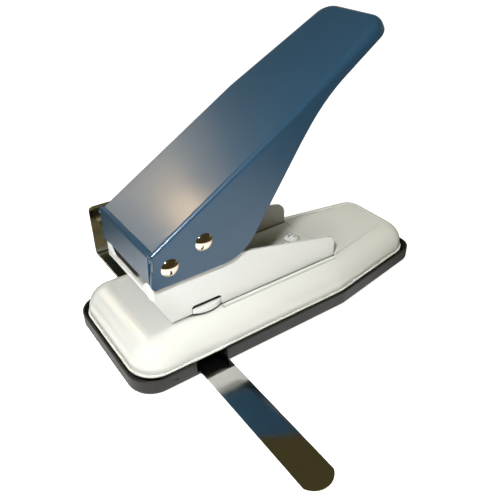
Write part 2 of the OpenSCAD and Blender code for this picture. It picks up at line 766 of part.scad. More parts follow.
module lever_handle() {
    low = lip_z - 40;
    high = lip_z + lever_len;
    lean = lip_lean / (lip_z - skirt_z);
    far = lip_x + lever_len + 30;
    color("#3f6480") difference() {
        intersection() {
            lever_form(0);
            plate_xz(-lever_y - over, lever_w + 2 * over)
                polygon(concat(skirt_edge(), [[far, high],
                    [lip_x + lean * (high - lip_z), high]]));
        }
        intersection() {
            lever_form(lever_t);
            plate_xz(-lever_y - over, lever_w + 2 * over)
                polygon([[lip_x + lever_t - lean * (lip_z - low), low], [far, low], [far, high],
                    [lip_x + lever_t + lean * (high - lip_z), high]]);
        }
        block([lip_x - 5, -lever_in, skirt_z - over], [lip_x + lever_t + 0.4, lever_in, lip_low_z]);
        for (s = [-1, 1])
            block([lip_x - 5, s > 0 ? lever_in - 0.8 : -lever_in, skirt_z - over],
                [lip_x + lever_t + 0.4, s > 0 ? lever_in : -lever_in + 0.8,
                    lip_z - lever_edge_r]);
        for (p = [[pivot_x, pivot_z], [drive_x, drive_z]])
            rod_y(p[0], p[1], -lever_y - over, lever_y + over, pin_r + 0.02);
    }
}

// Domed pin from the near skirt to beyond the far one, with a groove for its clip
module headed_pin(x, z) {
    dome_r = (pin_head_r * pin_head_r + pin_head_h * pin_head_h) / (2 * pin_head_h);
    groove = lever_y + 0.1;
    color("#c9ccd0") {
        difference() {
            rod_y(x, z, -lever_y - 0.2, lever_y + 2.6, pin_r);
            difference() {
                rod_y(x, z, groove, groove + clip_t + 0.1, pin_r + over);
                rod_y(x, z, groove - over, groove + clip_t + over, clip_groove_r);
            }
        }
        translate([x, -lever_y, z]) rotate([90, 0, 0]) intersection() {
            cylinder(r = pin_head_r, h = pin_head_h, $fn = round_fn);
            translate([0, 0, pin_head_h - dome_r]) sphere(r = dome_r, $fn = round_fn);
        }
    }
}

module pivot_pin() {
    headed_pin(pivot_x, pivot_z);
}

module drive_pin() {
    headed_pin(drive_x, drive_z);
}

module pin_clips() {
    y0 = lever_y + 0.15;
    mouth = clip_groove_r * 0.75;
    color("silver") for (p = [[pivot_x, pivot_z], [drive_x, drive_z]]) difference() {
        rod_y(p[0], p[1], y0, y0 + clip_t, clip_r);
        rod_y(p[0], p[1], y0 - over, y0 + clip_t + over, clip_groove_r + 0.05);
        block([p[0] - mouth, y0 - over, p[1] - clip_r - over],
            [p[0] + mouth, y0 + clip_t + over, p[1]]);
        for (a = [40, 140])
            translate([p[0] + clip_eye_r * cos(a), 0, p[1] + clip_eye_r * sin(a)])
                rod_y(0, 0, y0 - over, y0 + clip_t + over, clip_eye_bore);
    }
}

module pivot_washers() {
    play = (lever_in - side_y) * 0.1;
    color("#e8e6dc") for (s = [-1, 1]) difference() {
        rod_y(pivot_x, pivot_z, s > 0 ? side_y + play : -lever_in + play,
            s > 0 ? lever_in - play : -side_y - play, pivot_washer_r);
        rod_y(pivot_x, pivot_z, -lever_y, lever_y, pin_r + run_gap);
    }
}

module drive_spacers() {
    inner_y = crosshead_y / 2 + 0.3;
    color("#e8e6dc") for (s = [-1, 1]) difference() {
        rod_y(drive_x, drive_z, s > 0 ? inner_y : -lever_in + 0.1, s > 0 ? lever_in - 0.1 : -inner_y,
            spacer_r);
        rod_y(drive_x, drive_z, -lever_y, lever_y, pin_r + run_gap);
    }
}

// Cutter and stem in one piece, with a hollow-ground cutting face
module punch() {
    low = throat_z + 0.6;
    grind_r = 60;
    color("#a9adb2") {
        difference() {
            half_moon(0, low, upper_guide_z - 0.3);
            translate([cutter_x - cutter_r - over, 0, low + 0.8 - grind_r]) rotate([0, 90, 0])
                cylinder(r = grind_r, h = cutter_r + 2 * over, $fn = 360);
        }
        difference() {
            translate([stem_x, 0, upper_guide_z - 0.8])
                cylinder(r = stem_r, h = stem_top - upper_guide_z + 0.8, $fn = round_fn);
            cross_hole();
        }
    }
}

// Hole for the pin that locks the crosshead on the stem
module cross_hole() {
    translate([stem_x - crosshead_x, 0, crosshead_z + 3]) rotate([0, 90, 0])
        cylinder(r = cross_pin_r + 0.02, h = 2 * crosshead_x, $fn = round_fn);
}

crosshead_z = drive_z - crosshead_low;

module punch_crosshead() {
    shift = pin_pitch * (1 - cos(pin_slope));
    play = 0.25;
    color("#7f8489") difference() {
        block([stem_x - crosshead_x / 2, -crosshead_y / 2, crosshead_z],
            [stem_x + crosshead_x / 2, crosshead_y / 2, drive_z + crosshead_high]);
        translate([stem_x, 0, crosshead_z - over])
            cylinder(r = stem_r + 0.02, h = stem_top + 0.02 - crosshead_z + over, $fn = round_fn);
        for (x = [drive_x - play, drive_x + shift + play])
            rod_y(x, drive_z, -crosshead_y, crosshead_y, pin_r + play);
        block([drive_x - play, -crosshead_y, drive_z - pin_r - play],
            [drive_x + shift + play, crosshead_y, drive_z + pin_r + play]);
        cross_hole();
    }
}

module crosshead_pin() {
    color("silver") translate([stem_x - crosshead_x / 2 + 0.2, 0, crosshead_z + 3])
        rotate([0, 90, 0]) cylinder(r = cross_pin_r, h = crosshead_x - 0.4, $fn = round_fn);
}

// Coil along the stem, as one tube of six sides
spring_low = upper_guide_top + spring_wire / 2 + 0.05;
spring_high = crosshead_z - spring_wire / 2 - 0.05;
spring_rings = spring_turns * 8;

function coil_point(i) =
    let (t = i / spring_rings, a = 360 * spring_turns * t)
    [stem_x + spring_r * cos(a), spring_r * sin(a), spring_low + (spring_high - spring_low) * t];

function coil_ring(i) =
    let (a = 360 * spring_turns * i / spring_rings, c = coil_point(i),
        out = [cos(a), sin(a), 0], up = [0, 0, 1])
    [for (k = [0 : 5]) c + spring_wire / 2 * (cos(60 * k) * out + sin(60 * k) * up)];

coil_gap = min([for (i = [0 : spring_rings - 6], j = [i + 6 : spring_rings])
    norm(coil_point(i) - coil_point(j))]) - spring_wire;
echo(least_gap_between_spring_turns = coil_gap);

module return_spring() {
    last = spring_rings * 6;
    points = [for (i = [0 : spring_rings]) each coil_ring(i)];
    skin = [for (i = [0 : spring_rings - 1], k = [0 : 5])
        let (a = i * 6 + k, b = i * 6 + (k + 1) % 6, c = a + 6, d = b + 6)
        each [[a, b, d], [a, d, c]]];
    caps = [[for (k = [5 : -1 : 0]) k], [for (k = [0 : 5]) last + k]];
    color("#b8bcc0") polyhedron(points, concat(skin, caps), convexity = 6);
}

base_pad();
base_tray();
tray_screws();
chassis_plate();
base_cover();
cover_post();
cover_washer();
cover_screw();
punch_bracket();
upper_guide_plate();
lower_guide_plate();
die_block();
die_plate();
die_screws();
paper_stop();
strap_keepers();
keeper_rivets();
strap_leaf_spring();
side_guide();
lever_handle();
pivot_pin();
drive_pin();
pin_clips();
pivot_washers();
drive_spacers();
punch();
punch_crosshead();
crosshead_pin();
return_spring();
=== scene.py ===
import math

import bmesh
import bpy
from mathutils import Matrix, Vector


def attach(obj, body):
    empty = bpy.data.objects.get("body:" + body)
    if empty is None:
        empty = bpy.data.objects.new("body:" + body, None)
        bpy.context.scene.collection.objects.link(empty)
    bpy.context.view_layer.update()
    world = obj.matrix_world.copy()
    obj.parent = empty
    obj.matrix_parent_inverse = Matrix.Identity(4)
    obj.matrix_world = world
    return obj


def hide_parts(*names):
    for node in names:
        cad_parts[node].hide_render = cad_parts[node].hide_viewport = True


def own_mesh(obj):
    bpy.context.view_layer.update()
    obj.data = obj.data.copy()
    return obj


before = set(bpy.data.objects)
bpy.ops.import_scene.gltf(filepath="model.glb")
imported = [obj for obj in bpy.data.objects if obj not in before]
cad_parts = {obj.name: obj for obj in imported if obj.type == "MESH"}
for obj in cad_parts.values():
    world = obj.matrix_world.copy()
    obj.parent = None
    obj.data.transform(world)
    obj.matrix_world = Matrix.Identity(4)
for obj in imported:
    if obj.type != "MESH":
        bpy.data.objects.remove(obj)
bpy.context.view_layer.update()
scene = bpy.context.scene
scene.view_settings.view_transform = "Standard"
MM = 0.001

# Distances in metres below which two points are one and a point lies on a plane
SAME_POINT, SAME_PLANE = 1e-7, 1e-8

# Points round a turned part
TURNED_STEPS = 56

# Camera at the photograph's place: azimuth, elevation and roll in degrees, the rest in millimetres
CAMERA_PLACE = (-157.89, -215.65, 204.66)
CAMERA_TURN = (-34.88, 33.49, -0.51)
CAMERA_LENS, CAMERA_SENSOR = 41.45, 36.0

# Outline of the base, in millimetres, in the frame whose origin is the middle of the resting face
BASE_LEN, BASE_W, REAR_W, TAPER_LEN = 192.0, 78.0, 55.0, 67.5
FRONT_X = -BASE_LEN / 2
REAR_X = BASE_LEN / 2
TAPER_X = REAR_X - TAPER_LEN
TAPER_A = math.atan2((BASE_W - REAR_W) / 2, TAPER_LEN)
LEAST_CORNER = 0.02

# How far a cutting tool passes the face that it opens
PAST = 1.0

# Sizes of the tray
TRAY_Z, TRAY_TOP, TRAY_WALL, TRAY_FLOOR = 0.8, 9.8, 1.1, 2.8
TRAY_RADII = (13.5, 13.5, 10.0)
TRAY_EDGE_R, TRAY_RIM_R, TRAY_INNER_R, TRAY_CHAMFER = 2.5, 0.45, 1.4, 0.25
TRAY_SCREWS = [(FRONT_X + x, y) for x, y in ((14, 24), (14, -24), (148, 19), (148, -19))]
SEAT_R, SEAT_DEPTH = 3.2, 1.9
BOSS_R, BOSS_TOP, BOSS_SUNK = 4.2, 8.0, 0.1
RIB_T, RIB_OUT, RIB_IN, RIB_SUNK = 1.4, 0.6, 4.25, 0.2
SIDE_RIBS = [FRONT_X + x for x in (22, 70, 112)]
FRONT_RIB_Y, REAR_RIB_Y = 18.0, 12.0
NOTCH_Z, NOTCH_R, NOTCH_GAP, NOTCH_TOP, NOTCH_REACH = 3.8, 0.8, 0.7, 12.0, 4.0
DIMPLE_R, DIMPLE_DEPTH, DIMPLE_PAST = 1.3, 0.35, 2.0
DIMPLE_PLACE = (FRONT_X + 18.7, -BASE_W / 2, 6.6)

# Sizes of the cover
COVER_Z, COVER_TOP, COVER_T = 9.1, 24.2, 1.2
COVER_R, COVER_EDGE_R = 14.0, 12.5
LIP_INSET, LIP_W, LIP_H = 2.0, 0.9, 0.9
LIP_EDGE, LIP_EDGE_MID, LIP_SUNK, LIP_FILLET = 0.3, 0.09, 0.3, 0.25
COVER_INSET = LIP_INSET + LIP_W
SLOT_GAP, OPENING_GAP, TOOL_RISE = 0.5, 0.15, 1.0
OPENING_X, OPENING_HALF = FRONT_X + 36.55, 17.15
SCREW_PLACE, SCREW_HOLE_R, WASHER_T = (FRONT_X + 120, 3.5), 2.3, 0.8

# Sizes of the bracket
SIDE_X, SIDE_END_X = FRONT_X + 17.2, FRONT_X + 129.1
SIDE_Y, SIDE_T = 23.1, 1.6
BEND_R = SIDE_T + 0.8
THROAT_Z, THROAT_X = 25.4, FRONT_X + 54.7
WINDOW_X, WINDOW_Z = THROAT_X - 16.6, 29.9
NOSE_FOOT_X, NOSE_Z = FRONT_X + 26.8, 44.6
STRIP_TOP_Z, STRIP_FLAT = 46.8, 15.5
NOSE_CORNER_Z, NOSE_CORNER_Y = 52.2, 20.9
SHOULDER_Z, SHOULDER_LEN, REAR_TOP_Z, REAR_R = 53.4, 7.0, 36.6, 7.0
EAR_R, SMALL_CORNER, BRACKET_EDGE = 6.6, 1.0, 0.15
CHASSIS_TOP = 11.0

# Sizes of the stripper plate
STRIPPER_T, STRIPPER_GAP, STRIPPER_LEDGE, STRIPPER_EDGE = 3.0, 0.15, 2.0, 0.35
BOW_ROOT, BOW_OUT = 0.2, 2.7
CUTTER_X, CUTTER_HOLE_R = FRONT_X + 50.9, 10.06

# Sizes of the lever and its pins
PIVOT = (FRONT_X + 27.3, 59.0)
PIN_PITCH, PIN_SLOPE = 19.1, math.radians(20.7)
DRIVE = (PIVOT[0] + PIN_PITCH * math.cos(PIN_SLOPE), PIVOT[1] + PIN_PITCH * math.sin(PIN_SLOPE))
PIN_R, PIN_GAP, PIN_TAIL, PIN_CHAMFER = 3.0, 0.06, 2.6, 0.4
HEAD_R, HEAD_H, HEAD_RIM = 4.7, 2.3, 0.1
GROOVE_R, GROOVE_START, GROOVE_END = 2.3, 0.1, 1.0
LEVER_SLOPE = math.radians(31.2)
LIP_TOP = (FRONT_X + 18.1, 67.6)
LIP_LOW_Z, LIP_LEAN, LIP_FOLD_R, LIP_GAP = 52.7, 0.7, 2.2, 2.2
LEVER_LEN, LEVER_Y, LEVER_T = 157.0, 26.4, 1.5
LEVER_PARALLEL, LEVER_EDGE_R, TIP_EDGE_R = 90.0, 1.8, 5.0
TIP_Y, TIP_CORNER_R, TIP_DEPTH = 22.4, 10.0, 7.0
TIP_START = LEVER_LEN - TIP_CORNER_R
SKIRT_Z, SKIRT_RISE, SKIRT_CORNER = 49.9, math.radians(56.5), 2.5
BELLY_X, BELLY_R, BLEND_R = FRONT_X + 54.5, 22.0, 90.0

# Sizes of the side guide
STRAP_X, STRAP_W, STRAP_T, STRAP_TOP = FRONT_X + 30.8, 16.0, 1.2, 5.5
STRAP_END_Y, STRAP_END_R, STRAP_BEND_R, STRAP_EDGE = -121.9, 9.0, 1.5, 0.28
TAB_Y, TAB_H, TAB_CORNER = 86.0, 31.8, 2.5
STRAP_CUTS = [-40, 0, 40]


# Camera

def make_camera():
    """Camera at the photograph's place, looking against its own Z axis."""
    azimuth, elevation, roll = (math.radians(v) for v in CAMERA_TURN)
    level = math.cos(elevation)
    back = Vector((math.sin(azimuth) * level, -math.cos(azimuth) * level, math.sin(elevation)))
    right = (-back).cross(Vector((0, 0, 1))).normalized()
    up = right.cross(-back)
    turned_right = math.cos(roll) * right + math.sin(roll) * up
    turned_up = -math.sin(roll) * right + math.cos(roll) * up
    data = bpy.data.cameras.new("view")
    data.sensor_fit = "HORIZONTAL"
    data.sensor_width = CAMERA_SENSOR
    data.lens = CAMERA_LENS
    data.clip_start = 0.01
    data.clip_end = 50.0
    camera = bpy.data.objects.new("view", data)
    scene.collection.objects.link(camera)
    matrix = Matrix((turned_right, turned_up, back)).transposed().to_4x4()
    matrix.translation = Vector(CAMERA_PLACE) * MM
    camera.matrix_world = matrix
    scene.camera = camera


make_camera()


# Shader nodes

# Dark colour of painted shade between the bracket's walls
INSIDE_SHADE_COLOR = (0.035, 0.032, 0.026, 1)
# Dark colour of painted shade in crevices
CREVICE_SHADE_COLOR = (0.02, 0.018, 0.012)
FULL_WHITE = (1.0, 1.0, 1.0)
NOISE_LOW, NOISE_HIGH = 0.3, 0.7
STEP_FADE = 0.0006


class Nodes:
    """Small helper that adds, feeds and links shader nodes."""

    def __init__(self, tree):
        self.tree = tree
        tree.nodes.clear()

    def add(self, kind, inputs=None, **settings):
        """New node. Each input is a value, or the output of another node."""
        node = self.tree.nodes.new(kind)
        for key, value in settings.items():
            setattr(node, key, value)
        for key, value in (inputs or {}).items():
            if isinstance(value, bpy.types.NodeSocket):
                self.tree.links.new(value, node.inputs[key])
            else:
                node.inputs[key].default_value = value
        return node

    def place(self):
        return self.add("ShaderNodeTexCoord").outputs["Object"]

    def axes(self):
        """X, Y and Z of the place."""
        return self.add("ShaderNodeSeparateXYZ", {"Vector": self.place()}).outputs

    def math(self, operation, *values):
        return self.add("ShaderNodeMath", dict(enumerate(values)), operation=operation).outputs[0]

    def length(self, vector):
        return self.add("ShaderNodeVectorMath", {0: vector}, operation="LENGTH").outputs["Value"]

    def mix(self, factor, low, high, blend="MIX"):
        inputs = {"Factor": factor, "A": low, "B": high}
        return self.add("ShaderNodeMix", inputs, data_type="RGBA", blend_type=blend).outputs["Result"]

    def span(self, value, start, end, low=0.0, high=1.0, kind="LINEAR"):
        """Low up to the start, high from the end on, and a slope in between."""
        inputs = {"Value": value, "From Min": start, "From Max": end, "To Min": low, "To Max": high}
        return self.add("ShaderNodeMapRange", inputs, interpolation_type=kind).outputs["Result"]

    def noise(self, scale, detail, rough, stretch=None):
        vector = self.place()
        if stretch:
            vector = self.add("ShaderNodeMapping", {"Vector": vector, "Scale": stretch}).outputs["Vector"]
        inputs = {"Vector": vector, "Scale": scale, "Detail": detail, "Roughness": rough}
        return self.add("ShaderNodeTexNoise", inputs).outputs["Fac"]

    def ramp(self, fac, stops):
        """Colours between stops, each a position and a colour."""
        node = self.add("ShaderNodeValToRGB", {"Fac": fac})
        elements = node.color_ramp.elements
        for element, (position, color) in zip(elements, (stops[0], stops[-1])):
            element.position = position
            element.color = (*color, 1)
        for position, color in stops[1:-1]:
            elements.new(position).color = (*color, 1)
        return node.outputs["Color"]

    def bump(self, height, strength, distance, under=None):
        """Normal tilted by a height, on top of another normal. A negative distance sinks it."""
        inputs = {"Height": height, "Strength": strength, "Distance": abs(distance)}
        if under is not None:
            inputs["Normal"] = under
        return self.add("ShaderNodeBump", inputs, invert=distance < 0).outputs["Normal"]

    def step_height(self, x0, x1, y0, y1):
        """One from x0 to x1 and up to y0 on both sides, nothing past y1, smooth in between."""
        axes = self.axes()
        beside = self.span(self.math("ABSOLUTE", axes["Y"]), y0, y1, 1.0, 0.0, "SMOOTHSTEP")
        begun = self.span(axes["X"], x0 - STEP_FADE, x0, kind="SMOOTHSTEP")
        before_end = self.span(axes["X"], x1, x1 + STEP_FADE, 1.0, 0.0, "SMOOTHSTEP")
        return self.math("MULTIPLY", self.math("MULTIPLY", beside, begun), before_end)

    def paint_reflection_above(self, paint, start, end, color):
        """The paint below, a painted reflection's colour above, and a slope in between."""
        return self.mix(self.span(self.axes()["Z"], start, end), paint, (*color, 1))

    def paint_inside_shade(self, paint, front, start, end, half_width):
        """Painted shade within a width and behind a front. It turns into paint from the start to the end."""
        axes = self.axes()
        within = self.math("LESS_THAN", self.math("ABSOLUTE", axes["Y"]), half_width)
        behind = self.math("GREATER_THAN", axes["X"], front)
        fade = self.span(axes["X"], start, end, 1.0, 0.0)
        amount = self.math("MULTIPLY", self.math("MULTIPLY", within, behind), fade)
        return self.mix(amount, paint, INSIDE_SHADE_COLOR)

    def paint_crevice_shade(self, paint, reach, low, high):
        """Paint darkened by painted shade where other surfaces shut it in."""
        open_part = self.add("ShaderNodeAmbientOcclusion", {"Distance": reach}, samples=8).outputs["AO"]
        return self.mix(1.0, paint, self.ramp(open_part, [(low, CREVICE_SHADE_COLOR), (high, FULL_WHITE)]), "MULTIPLY")


# Materials

def shade(color, by):
    return tuple(min(1.0, c * by) for c in color)


def surface(name, color, rough, tint, tint_scale, grain, metallic=0.0, rough_spread=0.04, wave=None,
            stretch=None, coat=0.0, coat_rough=0.1, specular=0.5, crevice=None, inside=None, sag=None,
            upper=None, step=None):
    """Principled material whose colour, roughness and bump all vary a little over the surface.

    Grain and wave are a noise's scale, a strength and a height. Lengths are in metres.
    Crevice (reach, low, high) paints shade on what is shut in by other surfaces.
    Inside (front, start, end, half width) paints shade as a dark colour within a box, with a soft end.
    Sag (start, end, rise) tilts the shading along Y.
    Upper reflection (start, end, colour) paints a reflection's colour on what stands higher.
    Step (x0, x1, y0, y1, rise) shades a shallow press mark beside the walls, sunk if rise is negative."""
    material = bpy.data.materials.new(name)
    material.use_nodes = True
    n = Nodes(material.node_tree)
    drift = n.noise(tint_scale, 4.0, 0.55)
    paint = n.ramp(drift, [(NOISE_LOW, shade(color, 1 - tint)), (NOISE_HIGH, shade(color, 1 + tint))])
    if crevice:
        paint = n.paint_crevice_shade(paint, *crevice)
    if inside:
        paint = n.paint_inside_shade(paint, *inside)
    if upper:
        paint = n.paint_reflection_above(paint, *upper)
    worn = n.noise(tint_scale * 3, 3.0, 0.6)
    roughness = n.span(worn, NOISE_LOW, NOISE_HIGH, rough - rough_spread, rough + rough_spread)
    normal = n.bump(n.noise(grain[0], 2.0, 0.5, stretch), grain[1], grain[2])
    if wave:
        normal = n.bump(n.noise(wave[0], 1.0, 0.5), wave[1], wave[2], normal)
    if sag:
        normal = n.bump(n.span(n.axes()["Y"], sag[0], sag[1]), 1.0, sag[2], normal)
    if step:
        normal = n.bump(n.step_height(*step[:4]), 1.0, step[4], normal)
    inputs = {"Base Color": paint, "Roughness": roughness, "Normal": normal, "Metallic": metallic,
              "Specular IOR Level": specular, "Coat Weight": coat, "Coat Roughness": coat_rough}
    shader = n.add("ShaderNodeBsdfPrincipled", inputs)
    n.add("ShaderNodeOutputMaterial", {"Surface": shader.outputs["BSDF"]})
    return material


# Where looks change over a piece, in metres, as surface takes them: painted shade in crevices, the press
# mark beside the walls, painted shade between them, and the strap's shaded stretch and the painted olive
# reflection on its tab
FOLD_CREVICE_SHADE, SMALL_CREVICE_SHADE = (0.003, 0.36, 0.62), (0.0012, 0.40, 0.85)
PRESS_MARK = (THROAT_X * MM, SIDE_END_X * MM, 0.0252, 0.0266, -0.00110)
INSIDE_SHADE_BOX, INSIDE_SHADE_HALF = (-0.0771, -0.030, 0.014), 0.0218
STRAP_SAG, TAB_PAINTED_REFLECTION = (-0.0300, -0.0468, 0.0055), (0.006, 0.009, (0.40, 0.35, 0.19))


def blue_enamel():
    return surface("blue_enamel", (0.022, 0.068, 0.124), 0.34, tint=0.05, tint_scale=12,
                   grain=(1500.0, 0.28, 0.00010), wave=(520.0, 0.10, 0.00012), specular=0.42,
                   coat=0.30, coat_rough=0.2)


def ivory_enamel():
    return surface("ivory_enamel", (0.80, 0.815, 0.765), 0.20, tint=0.012, tint_scale=14,
                   grain=(1100.0, 0.05, 0.00005), wave=(260.0, 0.05, 0.00012), coat=0.35,
                   crevice=FOLD_CREVICE_SHADE, step=PRESS_MARK)


def white_enamel(name, rough, crevice, inside=None):
    return surface(name, (0.83, 0.845, 0.82), rough, tint=0.012, tint_scale=18,
                   grain=(1200.0, 0.05, 0.00005), wave=(300.0, 0.05, 0.00010), coat=0.4,
                   crevice=crevice, inside=inside)


def white_shaded_between_walls(name, half_width):
    """White paint with painted shade between the bracket's walls, within the given half width in metres."""
    return white_enamel(name, 0.22, FOLD_CREVICE_SHADE, inside=(*INSIDE_SHADE_BOX, half_width))


def tray_moulding():
    return surface("tray_moulding", (0.022, 0.021, 0.020), 0.50, tint=0.12, tint_scale=30,
                   grain=(2200.0, 0.20, 0.00006), wave=(300.0, 0.05, 0.0001), specular=0.3)


def black_rubber():
    return surface("black_rubber", (0.030, 0.029, 0.028), 0.75, tint=0.12, tint_scale=60,
                   grain=(3200.0, 0.45, 0.0001), specular=0.35)


def metal(*look, **more):
    return surface(*look, metallic=1.0, **more)


# The chrome's warm tone is a painted warm reflection
def chrome_plate():
    return metal("chrome_plate", (0.66, 0.575, 0.49), 0.07, tint=0.015, tint_scale=40, rough_spread=0.02,
                 grain=(900.0, 0.02, 0.00003), wave=(60.0, 0.03, 0.0002))


def chrome_strip():
    """The strap's chrome, drawn along Y: shading tilted by the tray, painted olive reflection on its tab."""
    return metal("chrome_strip", (0.72, 0.72, 0.71), 0.09, tint=0.02, tint_scale=30, rough_spread=0.03,
                 grain=(700.0, 0.05, 0.00003), stretch=(6.0, 0.12, 6.0), wave=(40.0, 0.04, 0.0003),
                 sag=STRAP_SAG, upper=TAB_PAINTED_REFLECTION)


def zinc_plate():
    return metal("zinc_plate", (0.60, 0.61, 0.62), 0.34, tint=0.08, tint_scale=55, rough_spread=0.08,
                 grain=(1600.0, 0.15, 0.00005))


def ground_steel():
    return metal("ground_steel", (0.50, 0.51, 0.53), 0.26, tint=0.06, tint_scale=50, rough_spread=0.06,
                 grain=(1400.0, 0.25, 0.00004), stretch=(1.0, 12.0, 1.0))


def spring_wire():
    return metal("spring_wire", (0.52, 0.53, 0.55), 0.25, tint=0.06, tint_scale=80,
                 grain=(2000.0, 0.1, 0.00003))


def nylon():
    return surface("nylon", (0.80, 0.79, 0.74), 0.45, tint=0.03, tint_scale=80, grain=(2500.0, 0.15, 0.00004))


BLUE, IVORY = blue_enamel(), ivory_enamel()
WHITE = white_enamel("white_enamel", 0.18, SMALL_CREVICE_SHADE)
FOLDED = white_shaded_between_walls("white_enamel_shaded_between_walls", INSIDE_SHADE_HALF)
TABBED = white_shaded_between_walls("white_enamel_tabs", SIDE_Y * MM)
TRAY, RUBBER = tray_moulding(), black_rubber()
CHROME, STRAP = chrome_plate(), chrome_strip()
ZINC, TOOL = zinc_plate(), ground_steel()
SPRING, NYLON = spring_wire(), nylon()

CAD_LOOKS = {
    "base_pad": RUBBER, "tray_screws": ZINC, "chassis_plate": ZINC, "cover_post": ZINC,
    "upper_guide_plate": TOOL, "die_block": TOOL, "die_plate": TOOL, "die_screws": ZINC,
    "paper_stop": TOOL, "strap_keepers": ZINC, "keeper_rivets": ZINC, "strap_leaf_spring": SPRING,
    "pin_clips": SPRING, "pivot_washers": NYLON, "drive_spacers": ZINC, "punch": TOOL,
    "punch_crosshead": ZINC, "crosshead_pin": ZINC,
    "base_cover": IVORY, "base_tray": TRAY, "cover_screw": WHITE, "cover_washer": WHITE,
    "punch_bracket": WHITE, "lower_guide_plate": WHITE, "side_guide": STRAP, "lever_handle": BLUE,
    "pivot_pin": CHROME, "drive_pin": CHROME, "return_spring": SPRING,
}
for cad_name, look in CAD_LOOKS.items():
    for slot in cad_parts[cad_name].material_slots:
        slot.material = look


# Mesh tools

def build(name, points, faces):
    """Object from points in millimetres."""
    mesh = bpy.data.meshes.new(name)
    mesh.from_pydata([Vector(p) * MM for p in points], [], faces)
    mesh.validate()
    obj = bpy.data.objects.new(name, mesh)
    scene.collection.objects.link(obj)
    tidy_normals(obj)
    return obj


def tidy_normals(obj):
    """Merges points that coincide and turns all faces outwards."""
    bm = bmesh.new()
    bm.from_mesh(obj.data)
    bmesh.ops.remove_doubles(bm, verts=bm.verts, dist=SAME_POINT)
    bmesh.ops.recalc_face_normals(bm, faces=bm.faces)
    bm.to_mesh(obj.data)
    bm.free()


def apply_modifiers(obj):
    """Bakes the object's modifiers into its mesh."""
    bpy.context.view_layer.update()
    graph = bpy.context.evaluated_depsgraph_get()
    mesh = bpy.data.meshes.new_from_object(obj.evaluated_get(graph), depsgraph=graph)
    old = obj.data
    obj.modifiers.clear()
    obj.data = mesh
    bpy.data.meshes.remove(old)


def cut(obj, tools):
    """Subtracts the tools from the object and deletes them."""
    for tool in tools:
        modifier = obj.modifiers.new("cut", "BOOLEAN")
        modifier.operation = "DIFFERENCE"
        modifier.solver = "EXACT"
        modifier.object = tool
    apply_modifiers(obj)
    for tool in tools:
        bpy.data.objects.remove(tool)


def join(target, others):
    """Adds the meshes of the others to the target and deletes them."""
    bm = bmesh.new()
    bm.from_mesh(target.data)
    for other in others:
        bm.from_mesh(other.data)
    bm.to_mesh(target.data)
    bm.free()
    for other in others:
        bpy.data.objects.remove(other)


def finish_piece(obj, look, body, replaces, angle, bevel=0.0, bevel_angle=0.0):
    """Bevels sharp edges, shades the rest smooth, and gives the piece its material and its body."""
    if bevel:
        modifier = obj.modifiers.new("edges", "BEVEL")
        modifier.width = bevel * MM
        modifier.segments = 2
        modifier.limit_method = "ANGLE"
        modifier.angle_limit = math.radians(bevel_angle)
        apply_modifiers(obj)
    bm = bmesh.new()
    bm.from_mesh(obj.data)
    limit = math.radians(angle)
    for face in bm.faces:
        face.smooth = True
    for edge in bm.edges:
        edge.smooth = len(edge.link_faces) == 2 and edge.calc_face_angle(0.0) < limit
    bm.to_mesh(obj.data)
    bm.free()
    modifier = obj.modifiers.new("normals", "WEIGHTED_NORMAL")
    modifier.keep_sharp = True
    obj.data.materials.clear()
    obj.data.materials.append(look)
    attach(obj, body)
    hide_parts(replaces)


def loft(name, rings, capped=True):
    """Skin over rings of equal count, each a list of points, closed at both ends where it is capped."""
    count = len(rings[0])
    points = [p for ring in rings for p in ring]
    faces = []
    for i in range(len(rings) - 1):
        for k in range(count):
            a, b = i * count + k, i * count + (k + 1) % count
            faces.append((a, b, b + count, a + count))
    if capped:
        faces.append(tuple(range(count)))
        faces.append(tuple(range((len(rings) - 1) * count, len(rings) * count)))
    return build(name, points, faces)


def arc(cx, cy, r, a0, a1, steps):
    """Points on an arc, angles in degrees."""
    turns = [math.radians(a0 + (a1 - a0) * k / steps) for k in range(steps + 1)]
    return [(cx + r * math.cos(a), cy + r * math.sin(a)) for a in turns]


def circle(cx, cy, r, steps):
    turns = [2 * math.pi * k / steps for k in range(steps)]
    return [(cx + r * math.cos(a), cy + r * math.sin(a)) for a in turns]


def at_height(points, z):
    return [(x, y, z) for x, y in points]


def straight(start, end, steps):
    """Points on a straight line, without its start and with its end."""
    along, across = end[0] - start[0], end[1] - start[1]
    return [(start[0] + along * k / steps, start[1] + across * k / steps) for k in range(1, steps + 1)]


def dome(r, height, rim, steps):
    """Profile over a dome of the given radius and height, from a rim at or inside its foot to its top."""
    ball_r = (r ** 2 + height ** 2) / (2 * height)
    low = math.asin(rim / ball_r)
    turns = [low * (1 - k / steps) for k in range(steps)]
    return [(ball_r * math.sin(a), height - ball_r + ball_r * math.cos(a)) for a in turns] + [(0, height)]


def revolve(name, profile):
    """Turns a profile of (radius, height) about Z. The profile starts and ends on the axis."""
    steps = TURNED_STEPS
    inner = profile[1:-1]
    points = [(0, 0, profile[0][1])]
    for r, z in inner:
        points += at_height(circle(0, 0, r, steps), z)
    points.append((0, 0, profile[-1][1]))
    faces = []
    last = len(points) - 1
    for k in range(steps):
        j = (k + 1) % steps
        faces.append((0, 1 + j, 1 + k))
        for i in range(len(inner) - 1):
            a, b = 1 + i * steps + k, 1 + i * steps + j
            faces.append((a, b, b + steps, a + steps))
        top = 1 + (len(inner) - 1) * steps
        faces.append((top + k, top + j, last))
    return build(name, points, faces)


def box(name, low, high):
    x0, y0, z0 = low
    x1, y1, z1 = high
    points = [(x, y, z) for z in (z0, z1) for x, y in ((x0, y0), (x1, y0), (x1, y1), (x0, y1))]
    faces = [(0, 3, 2, 1), (4, 5, 6, 7), (0, 1, 5, 4), (1, 2, 6, 5), (2, 3, 7, 6), (3, 0, 4, 7)]
    return build(name, points, faces)


